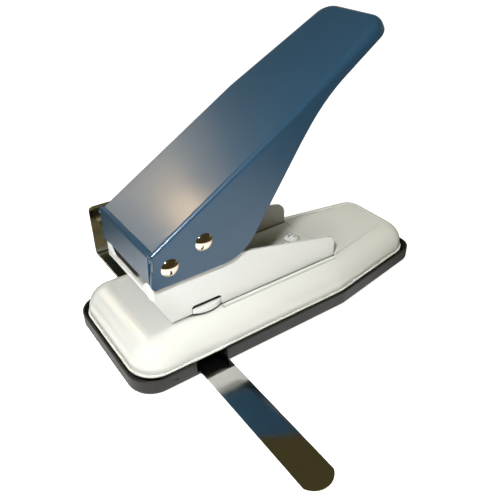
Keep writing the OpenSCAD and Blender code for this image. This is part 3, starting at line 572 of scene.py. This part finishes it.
def rod(name, r, z0, z1, x=0.0, y=0.0, steps=32):
    return loft(name, [at_height(circle(x, y, r, steps), z) for z in (z0, z1)])


def put(obj, place, angle=0.0, axis="Z"):
    """Turns the object about an axis, in degrees, and moves it to a place in millimetres."""
    turn = Matrix.Rotation(math.radians(angle), 4, axis)
    obj.data.transform(Matrix.Translation(Vector(place) * MM) @ turn)
    obj.data.update()


def sheet(name, outline, holes, thickness, edge):
    """Flat plate in XY with softened edges, its middle plane at z = 0."""
    curve = bpy.data.curves.new(name, "CURVE")
    curve.dimensions = "2D"
    curve.fill_mode = "BOTH"
    curve.extrude = (thickness / 2 - edge) * MM
    curve.bevel_depth = edge * MM
    curve.bevel_resolution = 1
    curve.offset = -edge * MM
    for loop in (outline, *holes):
        spline = curve.splines.new("POLY")
        spline.points.add(len(loop) - 1)
        for point, (x, y) in zip(spline.points, loop):
            point.co = (x * MM, y * MM, 0, 1)
        spline.use_cyclic_u = True
    source = bpy.data.objects.new(name + "_curve", curve)
    scene.collection.objects.link(source)
    bpy.context.view_layer.update()
    graph = bpy.context.evaluated_depsgraph_get()
    mesh = bpy.data.meshes.new_from_object(source.evaluated_get(graph), depsgraph=graph)
    bpy.data.objects.remove(source)
    bpy.data.curves.remove(curve)
    mesh.name = name
    obj = bpy.data.objects.new(name, mesh)
    scene.collection.objects.link(obj)
    tidy_normals(obj)
    return obj


def slice_along(obj, axis, places):
    """Adds edges where the object crosses planes, in millimetres along one axis."""
    bm = bmesh.new()
    bm.from_mesh(obj.data)
    normal = [0.0, 0.0, 0.0]
    normal[axis] = 1.0
    for place in places:
        point = [0.0, 0.0, 0.0]
        point[axis] = place * MM
        geometry = bm.verts[:] + bm.edges[:] + bm.faces[:]
        bmesh.ops.bisect_plane(bm, geom=geometry, plane_co=point, plane_no=normal, dist=SAME_PLANE)
    bm.to_mesh(obj.data)
    bm.free()


def remap(obj, rule):
    """Moves each point, given and returned in millimetres."""
    for vertex in obj.data.vertices:
        vertex.co = Vector(rule(*(vertex.co / MM))) * MM
    obj.data.update()


# Plan of the base

def plan_corner(k, d):
    """Middle of a corner's arc, moved in by a distance: 0 in front, 1 at the taper's start, 2 at the rear."""
    if k == 0:
        return FRONT_X + d, BASE_W / 2 - d
    if k == 1:
        return TAPER_X - d * math.tan(TAPER_A / 2), BASE_W / 2 - d
    return REAR_X - d, BASE_W / 2 - (d + (REAR_X - d - TAPER_X) * math.sin(TAPER_A)) / math.cos(TAPER_A)


def plan_ring(inset, radii, z):
    """The base's outline moved in by an amount, with the given corner radii, as a ring of points."""
    slant = 90 - math.degrees(TAPER_A)
    half = []
    for k, (a0, a1, steps) in enumerate(((180, 90, 14), (90, slant, 4), (slant, 0, 12))):
        cx, cy = plan_corner(k, inset + radii[k])
        half += arc(cx, cy, max(radii[k], LEAST_CORNER), a0, a1, steps)
    return at_height(half + [(x, -y) for x, y in reversed(half)], z)


def corner_rings(inset, radii, z, edge_r, steps, low):
    """Rings of a rounded lower or upper edge, ordered upwards. Inset and radii belong to the full outline."""
    rings = []
    for k in range(steps + 1):
        a = math.radians(90 * k / steps)
        lift, pull = (1 - math.cos(a), 1 - math.sin(a)) if low else (math.sin(a), 1 - math.cos(a))
        height = z + edge_r * lift if low else z - edge_r + edge_r * lift
        rings.append(plan_ring(inset + edge_r * pull, [r - edge_r * pull for r in radii], height))
    return rings


# Tray

def tray_notches():
    """Tools for the openings in both long walls that the side guide's strap passes through."""
    left, right, low = STRAP_X - NOTCH_GAP, STRAP_X + STRAP_W + NOTCH_GAP, NOTCH_Z + NOTCH_R
    notch = [(left, low)] + arc(left + NOTCH_R, low, NOTCH_R, 180, 270, 4)
    notch += arc(right - NOTCH_R, low, NOTCH_R, 270, 360, 4) + [(right, NOTCH_TOP), (left, NOTCH_TOP)]
    tools = []
    for side in (-1, 1):
        y0, y1 = side * BASE_W / 2 - NOTCH_REACH, side * BASE_W / 2 + NOTCH_REACH
        tools.append(loft("notch", [[(x, y, z) for x, z in notch] for y in (y0, y1)]))
    return tools


def tray_dimple():
    """Tool for the small moulding mark in the near wall."""
    dimple = rod("dimple", DIMPLE_R, -DIMPLE_DEPTH, DIMPLE_PAST, steps=28)
    put(dimple, DIMPLE_PLACE, 90, "X")
    return dimple


def tray_ribs():
    """Ribs under the cover's foot: three on each long wall, two at each end."""
    low = TRAY_FLOOR - RIB_SUNK
    front = (FRONT_X + RIB_OUT, FRONT_X + RIB_IN, FRONT_RIB_Y)
    rear = (REAR_X - RIB_IN, REAR_X - RIB_OUT, REAR_RIB_Y)
    ribs = []
    for side in (-1, 1):
        y0, y1 = sorted((side * (BASE_W / 2 - RIB_IN), side * (BASE_W / 2 - RIB_OUT)))
        for x in SIDE_RIBS:
            ribs.append(box("rib", (x, y0, low), (x + RIB_T, y1, COVER_Z)))
        for x0, x1, y in (front, rear):
            ribs.append(box("rib", (x0, side * y - RIB_T / 2, low), (x1, side * y + RIB_T / 2, COVER_Z)))
    return ribs


def make_tray():
    """Open tray with a round lower edge, a softened rim, screw seats below and bosses above them."""
    inner = [r - TRAY_WALL for r in TRAY_RADII]
    rings = corner_rings(0, TRAY_RADII, TRAY_Z, TRAY_EDGE_R, 8, True)
    rings += corner_rings(0, TRAY_RADII, TRAY_TOP, TRAY_RIM_R, 4, False)
    rings.append(plan_ring(TRAY_WALL - TRAY_CHAMFER, [r + TRAY_CHAMFER for r in inner], TRAY_TOP))
    rings.append(plan_ring(TRAY_WALL, inner, TRAY_TOP - TRAY_CHAMFER))
    rings += reversed(corner_rings(TRAY_WALL, inner, TRAY_FLOOR, TRAY_INNER_R, 5, True))
    tray = loft("tray_shell", rings)
    seats = [rod("screw_seat", SEAT_R, TRAY_Z - PAST, TRAY_Z + SEAT_DEPTH, x, y) for x, y in TRAY_SCREWS]
    cut(tray, [*tray_notches(), *seats, tray_dimple()])
    bosses = [rod("boss", BOSS_R, TRAY_FLOOR - BOSS_SUNK, BOSS_TOP, x, y) for x, y in TRAY_SCREWS]
    join(tray, tray_ribs() + bosses)
    finish_piece(tray, TRAY, "base", "base_tray", angle=32, bevel=0.15, bevel_angle=50)


# Cover

def cover_tools():
    """Tools for the slots of the bracket's walls, the opening between them and the screw's hole.
    They start above the foot, in the cover's hollow."""
    low, high = COVER_Z + TOOL_RISE, COVER_TOP + PAST
    tools = []
    for side in (-1, 1):
        mid = side * (SIDE_Y - SIDE_T / 2)
        tools.append(box("slot", (THROAT_X - SLOT_GAP, mid - SIDE_T / 2 - SLOT_GAP, low),
                         (SIDE_END_X + SLOT_GAP, mid + SIDE_T / 2 + SLOT_GAP, high)))
    tools.append(box("window", (OPENING_X, -OPENING_HALF, low), (THROAT_X + OPENING_GAP, OPENING_HALF, high)))
    tools.append(rod("screw_hole", SCREW_HOLE_R, low, high, *SCREW_PLACE))
    return tools


def cover_lip():
    """Narrow lip round the cover's foot."""
    wide, inside = [COVER_R + LIP_W] * 3, [COVER_R - LIP_SUNK] * 3
    top = COVER_Z + LIP_H
    rings = [plan_ring(LIP_INSET, wide, COVER_Z), plan_ring(LIP_INSET, wide, top - LIP_EDGE)]
    for edge, z in ((LIP_EDGE_MID, top - LIP_EDGE_MID), (LIP_EDGE, top)):
        rings.append(plan_ring(LIP_INSET + edge, [r - edge for r in wide], z))
    for z in (top + LIP_FILLET, COVER_Z):
        rings.append(plan_ring(COVER_INSET + LIP_SUNK, inside, z))
    return loft("cover_lip", [*rings, rings[0]], capped=False)


def make_cover():
    """Deep drawn sheet cover with a large round edge."""
    outer, inner = [COVER_R] * 3, [COVER_R - COVER_T] * 3
    inset = COVER_INSET + COVER_T
    inside = corner_rings(inset, inner, COVER_TOP - COVER_T, COVER_EDGE_R - COVER_T, 12, False)
    rings = [*reversed(inside), plan_ring(inset, inner, COVER_Z), plan_ring(COVER_INSET, outer, COVER_Z)]
    rings += corner_rings(COVER_INSET, outer, COVER_TOP, COVER_EDGE_R, 18, False)
    cover = loft("cover_shell", rings)
    cut(cover, cover_tools())
    join(cover, [cover_lip()])
    finish_piece(cover, IVORY, "base", "base_cover", angle=30, bevel=0.12, bevel_angle=60)


# Bracket: its flat blank is cut first, then folded

STRIP_HALF = SIDE_Y - BEND_R
FOLD_R = BEND_R - SIDE_T / 2
FOLD_LEN = FOLD_R * math.pi / 2


def blank_s(x):
    """Place along the flat blank of a point of the side wall, from the middle of the front strip."""
    if x >= SIDE_X + BEND_R:
        return x - SIDE_X - BEND_R + STRIP_HALF + FOLD_LEN
    angle = math.acos(max(-1.0, min(1.0, (SIDE_X + BEND_R - x) / BEND_R)))
    return STRIP_HALF + FOLD_R * angle


def fold(s, z, h):
    """Folded place of a point of the blank, at a height over the sheet's middle."""
    side = 1 if s >= 0 else -1
    s = abs(s)
    if s <= STRIP_HALF:
        return SIDE_X + SIDE_T / 2 - h, side * s, z
    if s <= STRIP_HALF + FOLD_LEN:
        a = (s - STRIP_HALF) / FOLD_R
        r = FOLD_R + h
        return SIDE_X + BEND_R - r * math.cos(a), side * (STRIP_HALF + r * math.sin(a)), z
    return SIDE_X + BEND_R + s - STRIP_HALF - FOLD_LEN, side * (SIDE_Y - SIDE_T / 2 + h), z


def side_profile():
    """Outline of a side wall in X and Z, from the front of its ear round to its foot."""
    shoulder_x = DRIVE[0] + SHOULDER_LEN
    slope = math.degrees(math.atan2(REAR_TOP_Z - SHOULDER_Z, SIDE_END_X - shoulder_x))
    lean = math.radians(slope)
    rear_z = REAR_TOP_Z - REAR_R - REAR_R * (1 / math.cos(lean) - 1) - REAR_R * math.tan(lean)
    ear_x = PIVOT[0] + EAR_R
    path = arc(PIVOT[0], PIVOT[1], EAR_R, 180, 0, 20)
    path += [(ear_x, SHOULDER_Z + SMALL_CORNER), (ear_x + SMALL_CORNER, SHOULDER_Z), (shoulder_x, SHOULDER_Z)]
    path += arc(SIDE_END_X - REAR_R, rear_z, REAR_R, 90 + slope, 0, 10)
    path += [(SIDE_END_X, CHASSIS_TOP), (THROAT_X, CHASSIS_TOP)]
    path += [(THROAT_X, WINDOW_Z - SMALL_CORNER), (THROAT_X - SMALL_CORNER, WINDOW_Z)]
    path += [(WINDOW_X + SMALL_CORNER, WINDOW_Z), (WINDOW_X, WINDOW_Z - SMALL_CORNER)]
    path += [(WINDOW_X, THROAT_Z), (NOSE_FOOT_X, THROAT_Z)]
    return path + straight((NOSE_FOOT_X, THROAT_Z), (SIDE_X, NOSE_Z), 8)


def make_bracket():
    """Front strip and both walls, cut as one flat blank and folded round the strip's sides."""
    half = [(STRIP_FLAT, STRIP_TOP_Z), (NOSE_CORNER_Y, NOSE_CORNER_Z)]
    half += [(blank_s(x), z) for x, z in [(PIVOT[0] - EAR_R, NOSE_CORNER_Z), *side_profile()]]
    outline = half + [(-s, z) for s, z in reversed(half)]
    holes = [circle(side * blank_s(PIVOT[0]), PIVOT[1], PIN_R + PIN_GAP, 32) for side in (-1, 1)]
    bracket = sheet("folded_bracket", outline, holes, SIDE_T, BRACKET_EDGE)
    creases = [STRIP_HALF + FOLD_LEN * k / 8 for k in range(9)]
    slice_along(bracket, 0, creases + [-c for c in creases])
    remap(bracket, fold)
    tidy_normals(bracket)
    finish_piece(bracket, FOLDED, "base", "punch_bracket", angle=30)


def make_lower_guide():
    """Stripper plate with a half-moon hole. Its bowed ends show in the windows of the walls."""
    x0, x1 = WINDOW_X + STRIPPER_GAP, THROAT_X - STRIPPER_GAP
    y_in, y_out = SIDE_Y - SIDE_T, SIDE_Y + BOW_OUT
    mid, half, sag = (x0 + x1) / 2, (x1 - x0) / 2, BOW_OUT - BOW_ROOT
    bow = (half ** 2 + sag ** 2) / (2 * sag)
    open_a = math.degrees(math.asin(half / bow))
    path = [(x0 - STRIPPER_LEDGE, -y_in), (x0, -y_in)]
    path += arc(mid, bow - y_out, bow, 270 - open_a, 270 + open_a, 20)
    path += arc(mid, y_out - bow, bow, 90 - open_a, 90 + open_a, 20)
    path += [(x0, y_in), (x0 - STRIPPER_LEDGE, y_in)]
    moon = arc(CUTTER_X, 0, CUTTER_HOLE_R, 90, 270, 36)
    plate = sheet("stripper_plate", path, [moon], STRIPPER_T, STRIPPER_EDGE)
    put(plate, (0, 0, THROAT_Z + STRIPPER_T / 2))
    finish_piece(plate, TABBED, "base", "lower_guide_plate", angle=30)


# Lever: a shell drawn from one sheet, with its top flat and its skirts ruled down to their edge

ALONG = (math.cos(LEVER_SLOPE), math.sin(LEVER_SLOPE))
DOWN = (math.sin(LEVER_SLOPE), -math.cos(LEVER_SLOPE))
FAN_LEN = 30.0
ROUND_STEPS, SKIRT_STEPS = 8, 8
ROWS = ROUND_STEPS + SKIRT_STEPS + 1


def lever_place(s, y, d):
    """Place of a point given along the lever's top, across it, and below it."""
    return LIP_TOP[0] + s * ALONG[0] + d * DOWN[0], y, LIP_TOP[1] + s * ALONG[1] + d * DOWN[1]


def to_lever(x, z):
    """Distances along and below the lever's top of a point in X and Z."""
    dx, dz = x - LIP_TOP[0], z - LIP_TOP[1]
    return dx * ALONG[0] + dz * ALONG[1], dx * DOWN[0] + dz * DOWN[1]


LIP_FOOT = to_lever(LIP_TOP[0] - LIP_LEAN, LIP_LOW_Z)
LIP_DROP = math.hypot(*LIP_FOOT)
LIP_DIR = (LIP_FOOT[0] / LIP_DROP, LIP_FOOT[1] / LIP_DROP)
LIP_TURN = math.acos(-LIP_DIR[0])
LIP_SET_BACK = LIP_FOLD_R * math.tan(LIP_TURN / 2)


def skirt_edge():
    """Lower edge of a skirt along and below the lever's top, from its front corner to the tip."""
    corner_x = LIP_TOP[0] - LIP_LEAN + SKIRT_CORNER
    rise_a, slope_a = math.degrees(SKIRT_RISE), math.degrees(LEVER_SLOPE)
    rise = (math.cos(SKIRT_RISE), math.sin(SKIRT_RISE))
    path = arc(corner_x, SKIRT_Z + SKIRT_CORNER, SKIRT_CORNER, 180, 270, 5)
    path += straight((corner_x, SKIRT_Z), (BELLY_X, SKIRT_Z), 12)[:-1]
    path += arc(BELLY_X, SKIRT_Z + BELLY_R, BELLY_R, -90, rise_a - 90, 14)
    start = path[-1]
    # The rise meets the line at the tip's depth. A large arc blends the two.
    gap = (LIP_TOP[0] + TIP_DEPTH * DOWN[0] - start[0], LIP_TOP[1] + TIP_DEPTH * DOWN[1] - start[1])
    run = (gap[0] * ALONG[1] - gap[1] * ALONG[0]) / (rise[0] * ALONG[1] - rise[1] * ALONG[0])
    run -= BLEND_R * math.tan((SKIRT_RISE - LEVER_SLOPE) / 2)
    first = (start[0] + run * rise[0], start[1] + run * rise[1])
    centre = (first[0] + BLEND_R * rise[1], first[1] - BLEND_R * rise[0])
    path += straight(start, first, 6)[:-1]
    path += arc(centre[0], centre[1], BLEND_R, 90 + rise_a, 90 + slope_a, 14)
    edge = [to_lever(*p) for p in path]
    return edge + straight((edge[-1][0], TIP_DEPTH), (TIP_START, TIP_DEPTH), 5)


def lever_narrow(s):
    """How far the lever's narrowing has gone: nothing along its parallel part, one at the tip's corners."""
    return max(0.0, min(1.0, (s - LEVER_PARALLEL) / (TIP_START - LEVER_PARALLEL)))


def lever_half(s):
    return LEVER_Y + (TIP_Y - LEVER_Y) * lever_narrow(s)


def lever_round(s):
    return LEVER_EDGE_R + (TIP_EDGE_R - LEVER_EDGE_R) * lever_narrow(s)


def lever_columns():
    """Columns of the near half. Each has the places along the lever of the flat top's border and of the
    skirt's top, the place across, the outward direction and the foot."""
    edge = skirt_edge()
    first = edge[0][0]
    columns = []
    for s, d in edge:
        part = min(1.0, (s - first) / (FAN_LEN - first))
        inner = s if s > FAN_LEN else LIP_SET_BACK + part * (FAN_LEN - LIP_SET_BACK)
        outer = s if s > FAN_LEN else part * FAN_LEN
        columns.append((inner, outer, -lever_half(outer), (0.0, -1.0), (s, d)))
    cy, corner_steps, end_steps = TIP_CORNER_R - TIP_Y, 12, 3
    for k in range(1, corner_steps + 1):
        a = math.radians(-90 + 90 * k / corner_steps)
        n = (math.cos(a), math.sin(a))
        s = TIP_START + TIP_CORNER_R * n[0]
        columns.append((s, s, cy + TIP_CORNER_R * n[1], n, (s, TIP_DEPTH)))
    for k in range(1, end_steps + 1):
        columns.append((LEVER_LEN, LEVER_LEN, cy * (1 - k / end_steps), (1.0, 0.0), (LEVER_LEN, TIP_DEPTH)))
    return columns


def column_points(inner, outer, y, n, foot):
    """Points of a column, over the rounded edge of the top and down the skirt."""
    r = lever_round(outer)
    points = []
    for k in range(ROUND_STEPS + 1):
        a = math.radians(90 * k / ROUND_STEPS)
        out, d = r * (math.sin(a) - 1), r * (1 - math.cos(a))
        s = inner + (outer - inner) * k / ROUND_STEPS
        points.append(lever_place(s + out * n[0], y + out * n[1], d))
    for s, d in straight((outer, r), foot, SKIRT_STEPS):
        across = y if n[0] else math.copysign(lever_half(s), y)
        points.append(lever_place(s, across, d))
    return points


def shell_faces(count, half):
    """Faces between neighbouring columns, and those of the flat top between the near and far halves."""
    faces = []
    for i in range(count - 1):
        for k in range(ROWS - 1):
            a = i * ROWS + k
            faces.append((a, a + 1, a + ROWS + 1, a + ROWS))
    for i in range(half):
        j = count - 1 - i
        corners = (i, i + 1, j - 1, j) if j - 1 > i + 1 else (i, i + 1, j)
        faces.append(tuple(corner * ROWS for corner in corners))
    return faces


def lip_path():
    """Run of the front lip, folded down from the top between the skirts."""
    turns = [LIP_TURN * k / 7 for k in range(1, 8)]
    path = [(LIP_SET_BACK - LIP_FOLD_R * math.sin(a), LIP_FOLD_R * (1 - math.cos(a))) for a in turns]
    s, d = path[-1]
    rest = LIP_DROP - LIP_SET_BACK
    return path + straight((s, d), (s + LIP_DIR[0] * rest, d + LIP_DIR[1] * rest), 4)


def make_lever():
    """The skin of the lever's outside, thickened inwards to its sheet."""
    near = lever_columns()
    far = [(inner, outer, -y, (n[0], -n[1]), foot) for inner, outer, y, n, foot in reversed(near[:-1])]
    columns = near + far
    points = [point for column in columns for point in column_points(*column)]
    faces = shell_faces(len(columns), len(near) - 1)
    lip_y = LEVER_Y - LIP_GAP
    before = (0, (len(columns) - 1) * ROWS)
    for s, d in lip_path():
        pair = (len(points), len(points) + 1)
        points += [lever_place(s, y, d) for y in (-lip_y, lip_y)]
        faces.append((before[0], before[1], pair[1], pair[0]))
        before = pair
    lever = build("lever_shell", points, faces)
    top = max(lever.data.polygons, key=lambda p: p.area)
    if top.normal.dot(Vector((DOWN[0], 0, DOWN[1]))) > 0:
        lever.data.flip_normals()
    solid = lever.modifiers.new("sheet", "SOLIDIFY")
    solid.thickness = LEVER_T * MM
    solid.offset = -1.0
    solid.use_even_offset = False
    solid.use_quality_normals = True
    apply_modifiers(lever)
    finish_piece(lever, BLUE, "lever", "lever_handle", angle=40, bevel=0.3, bevel_angle=50)


# Pins, screw, washer, spring and guide

def make_pin(name, node, place):
    """Pin through both skirts, with a domed head on the near side and a clip's groove on the far side."""
    tail = [(0, PIN_TAIL), (PIN_R - PIN_CHAMFER, PIN_TAIL), (PIN_R, PIN_TAIL - PIN_CHAMFER)]
    tail += [(PIN_R, GROOVE_END), (GROOVE_R, GROOVE_END), (GROOVE_R, GROOVE_START), (PIN_R, GROOVE_START)]
    profile = [(r, -(2 * LEVER_Y + past)) for r, past in tail]
    profile += [(PIN_R, 0.0), (HEAD_R - HEAD_RIM, 0.0)]
    pin = revolve(name, profile + dome(HEAD_R, HEAD_H, HEAD_R - HEAD_RIM, 10))
    put(pin, (place[0], -LEVER_Y, place[1]), 90, "X")
    finish_piece(pin, CHROME, "lever", node, angle=40)


def cross_tool(z0, z1):
    """Tool for the screw's cross recess: two crossed bars."""
    reach, width = 2.6, 0.62
    sizes = ((reach, width), (width, reach))
    return [box("recess", (-x, -y, z0), (x, y, z1)) for x, y in sizes]


def make_cover_screw():
    """Screw with a raised head and a cross recess, turned a little as in the photograph."""
    head_r, head_h, rim_h, foot_edge, rim_lean, shoulder = 4.8, 2.6, 0.75, 0.2, 0.05, 0.35
    shank_r, shank_len, chamfer, recess_depth, recess_turn = 2.0, 10.6, 0.4, 1.5, 20
    profile = [(0, -shank_len), (shank_r - chamfer, -shank_len), (shank_r, chamfer - shank_len)]
    profile += [(shank_r, 0.0), (head_r - foot_edge, 0.0), (head_r, foot_edge), (head_r - rim_lean, rim_h)]
    screw = revolve("cover_screw_head", profile + dome(head_r, head_h, head_r - shoulder, 12))
    cut(screw, cross_tool(head_h - recess_depth, head_h + PAST))
    put(screw, (*SCREW_PLACE, COVER_TOP + WASHER_T), recess_turn)
    finish_piece(screw, WHITE, "base", "cover_screw", angle=35, bevel=0.12, bevel_angle=45)


def make_cover_washer():
    """Washer with softened edges under the cover's screw."""
    bore_r, outer_r, width, low_edge, high_edge = 2.1, 5.8, 0.3, 0.2, 0.25
    profile = [(bore_r, 0), (outer_r - width, 0), (outer_r, low_edge), (outer_r, WASHER_T - high_edge)]
    profile += [(outer_r - width, WASHER_T), (bore_r + low_edge, WASHER_T), (bore_r, WASHER_T - low_edge)]
    rings = [at_height(circle(0, 0, r, TURNED_STEPS), z) for r, z in profile]
    washer = loft("cover_screw_washer", [*rings, rings[0]], capped=False)
    put(washer, (*SCREW_PLACE, COVER_TOP))
    finish_piece(washer, WHITE, "base", "cover_washer", angle=35)


def make_spring():
    """Coil round the punch's stem, with three quarters of a closed turn at each end."""
    wire, turns, mean_r = 1.0, 4.5, 6.7
    low, high = 42.3, 55.95
    stem_x = FRONT_X + 45.8
    end_turn, gap, turn_steps, sides = 0.75, 0.05, 32, 10
    coils = turns + 2 * end_turn
    steps = int(coils * turn_steps)
    rings = []
    for i in range(steps + 1):
        t = i / steps * coils
        rest = min(max((t - end_turn) / turns, 0.0), 1.0)
        z = low + wire / 2 + gap + (high - low - wire - 2 * gap) * rest
        a = 2 * math.pi * t
        section = circle(mean_r, z, wire / 2, sides)
        rings.append([(stem_x + r * math.cos(a), r * math.sin(a), height) for r, height in section])
    spring = loft("stem_spring", rings)
    finish_piece(spring, SPRING, "base", "return_spring", angle=50)
    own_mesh(spring)


def make_guide():
    """Strap with a round end and an upturned tab, bent from one flat strip."""
    bend_out = STRAP_BEND_R + STRAP_T
    fold_r = STRAP_BEND_R + STRAP_T / 2
    flat_end = TAB_Y - bend_out
    fold_len = fold_r * math.pi / 2
    z_mid = STRAP_TOP - STRAP_T / 2
    end = flat_end + fold_len + TAB_H + STRAP_T - bend_out
    tip_a = math.degrees(math.acos(STRAP_W / 2 / STRAP_END_R))
    right, left, corner_y = STRAP_X + STRAP_W - TAB_CORNER, STRAP_X + TAB_CORNER, end - TAB_CORNER
    outline = arc(STRAP_X + STRAP_W / 2, STRAP_END_Y + STRAP_END_R, STRAP_END_R, 180 + tip_a, 360 - tip_a, 24)
    outline += arc(right, corner_y, TAB_CORNER, 0, 90, 8) + arc(left, corner_y, TAB_CORNER, 90, 180, 8)
    guide = sheet("guide_strip", outline, (), STRAP_T, STRAP_EDGE)
    slice_along(guide, 1, [flat_end + fold_len * k / 8 for k in range(9)] + STRAP_CUTS)

    def fold_up(x, y, h):
        if y <= flat_end:
            return x, y, z_mid + h
        if y <= flat_end + fold_len:
            a = (y - flat_end) / fold_r
            return x, flat_end + (fold_r - h) * math.sin(a), z_mid + fold_r - (fold_r - h) * math.cos(a)
        return x, flat_end + fold_r - h, z_mid + fold_r + (y - flat_end - fold_len)

    remap(guide, fold_up)
    tidy_normals(guide)
    finish_piece(guide, STRAP, "guide", "side_guide", angle=30)


make_tray()
make_cover()
make_bracket()
make_lower_guide()
make_lever()
make_pin("pivot_pin_dome", "pivot_pin", PIVOT)
make_pin("drive_pin_dome", "drive_pin", DRIVE)
make_cover_screw()
make_cover_washer()
make_spring()
make_guide()


# Floor and light, with lengths in metres

FLOOR_HALF, FLOOR_GLOW, FLOOR_FADE = 60.0, 0.86, (0.3, 0.9)
SHEET_MIDDLE, SHEET_REACH, SHEET_FADE = (-0.16, -0.115), (0.30, 0.24), 0.75
ROOM = (0.066, 0.052, 0.020)
PAPER = (0.80, 0.80, 0.80, 1)
OPAQUE_WHITE = (*FULL_WHITE, 1)
HORIZON_LOW, HORIZON_HIGH, HORIZON_LEAN = 0.08, 0.14, -0.25


def mirrored_floor(n):
    """Mirrors see white on the press's near side, room colour past it, and a painted shadow behind it."""
    shift = tuple(-middle / reach for middle, reach in zip(SHEET_MIDDLE, SHEET_REACH))
    scale = tuple(1 / reach for reach in SHEET_REACH)
    inputs = {"Vector": n.place(), "Location": (*shift, 0.0), "Scale": (*scale, 0.0)}
    reach = n.length(n.add("ShaderNodeMapping", inputs).outputs["Vector"])
    axes = n.axes()
    # Behind the press's far side, mirrors see the room's colour as a painted shadow of the press
    behind = n.math("GREATER_THAN", axes["Y"], BASE_W / 2 * MM)
    beside = n.math("GREATER_THAN", axes["X"], FRONT_X * MM)
    return n.ramp(n.math("MULTIPLY_ADD", behind, beside, reach), [(SHEET_FADE, FULL_WHITE), (1.0, ROOM)])


def make_floor():
    """White floor that glows for the camera and in mirrors."""
    low, high = -FLOOR_HALF, FLOOR_HALF
    corners = [(low, low, 0), (high, low, 0), (high, high, 0), (low, high, 0)]
    mesh = bpy.data.meshes.new("studio_floor")
    mesh.from_pydata(corners, [], [(0, 1, 2, 3)])
    floor = bpy.data.objects.new("studio_floor", mesh)
    scene.collection.objects.link(floor)
    material = bpy.data.materials.new("studio_white")
    material.use_nodes = True
    n = Nodes(material.node_tree)
    ray = n.add("ShaderNodeLightPath").outputs
    mirrored = n.math("MAXIMUM", ray["Is Glossy Ray"], ray["Is Transmission Ray"])
    white = n.mix(mirrored, OPAQUE_WHITE, mirrored_floor(n))
    diffuse = n.add("ShaderNodeBsdfDiffuse", {"Color": n.mix(1.0, white, PAPER, "MULTIPLY")})
    seen = n.math("MAXIMUM", ray["Is Camera Ray"], mirrored)
    fade = n.span(n.length(n.place()), FLOOR_FADE[0], FLOOR_FADE[1], FLOOR_GLOW, 1.0)
    glow = n.add("ShaderNodeEmission", {"Color": white, "Strength": n.math("MULTIPLY", seen, fade)})
    both = n.add("ShaderNodeAddShader", {0: diffuse.outputs["BSDF"], 1: glow.outputs["Emission"]})
    n.add("ShaderNodeOutputMaterial", {"Surface": both.outputs["Shader"]})
    mesh.materials.append(material)


def make_world():
    """A dim olive room, white for the camera, with a white band that reaches higher behind the object."""
    world = bpy.data.worlds.new("room")
    scene.world = world
    world.use_nodes = True
    n = Nodes(world.node_tree)
    way = n.add("ShaderNodeTexCoord").outputs["Generated"]
    axes = n.add("ShaderNodeSeparateXYZ", {"Vector": way}).outputs
    height = n.math("MULTIPLY_ADD", axes["Y"], HORIZON_LEAN, axes["Z"])
    room = n.ramp(height, [(HORIZON_LOW, FULL_WHITE), (HORIZON_HIGH, ROOM), (1.0, ROOM)])
    seen = n.mix(n.add("ShaderNodeLightPath").outputs["Is Camera Ray"], room, OPAQUE_WHITE)
    light = n.add("ShaderNodeBackground", {"Color": seen})
    n.add("ShaderNodeOutputWorld", {"Surface": light.outputs["Background"]})


def make_lamp(name, place, aim, size, power, color, mirrored=True, diffuse=True):
    """Rectangular lamp. Mirrored and diffuse say whether mirrors and matt surfaces see it."""
    data = bpy.data.lights.new(name, "AREA")
    data.shape = "RECTANGLE"
    data.size, data.size_y = size
    data.energy = power
    data.color = color
    lamp = bpy.data.objects.new(name, data)
    scene.collection.objects.link(lamp)
    lamp.visible_glossy = mirrored
    lamp.visible_diffuse = diffuse
    lamp.location = place
    lamp.rotation_euler = (Vector(aim) - Vector(place)).to_track_quat("-Z", "Y").to_euler()


make_floor()
make_world()
make_lamp("key", (-0.192, -0.180, 0.262), (-0.03, 0.0, 0.03), (0.03, 0.03), 1.03, (1.0, 0.995, 1.0))
make_lamp("overhead", (0.26, -0.02, 1.5), (0.0, 0.0, 0.0), (0.5, 0.5), 6.8, (1.0, 0.975, 0.87),
          mirrored=False)
make_lamp("window", (-0.34, 0.95, 0.66), (-0.03, 0.0, 0.08), (0.45, 0.30), 1.5, (1.0, 0.86, 0.70),
          diffuse=False)
make_lamp("bulb", (-0.121, 0.173, 0.235), (-0.051, -0.016, 0.084), (0.03, 0.03), 0.115, (1.0, 0.70, 0.38),
          diffuse=False)
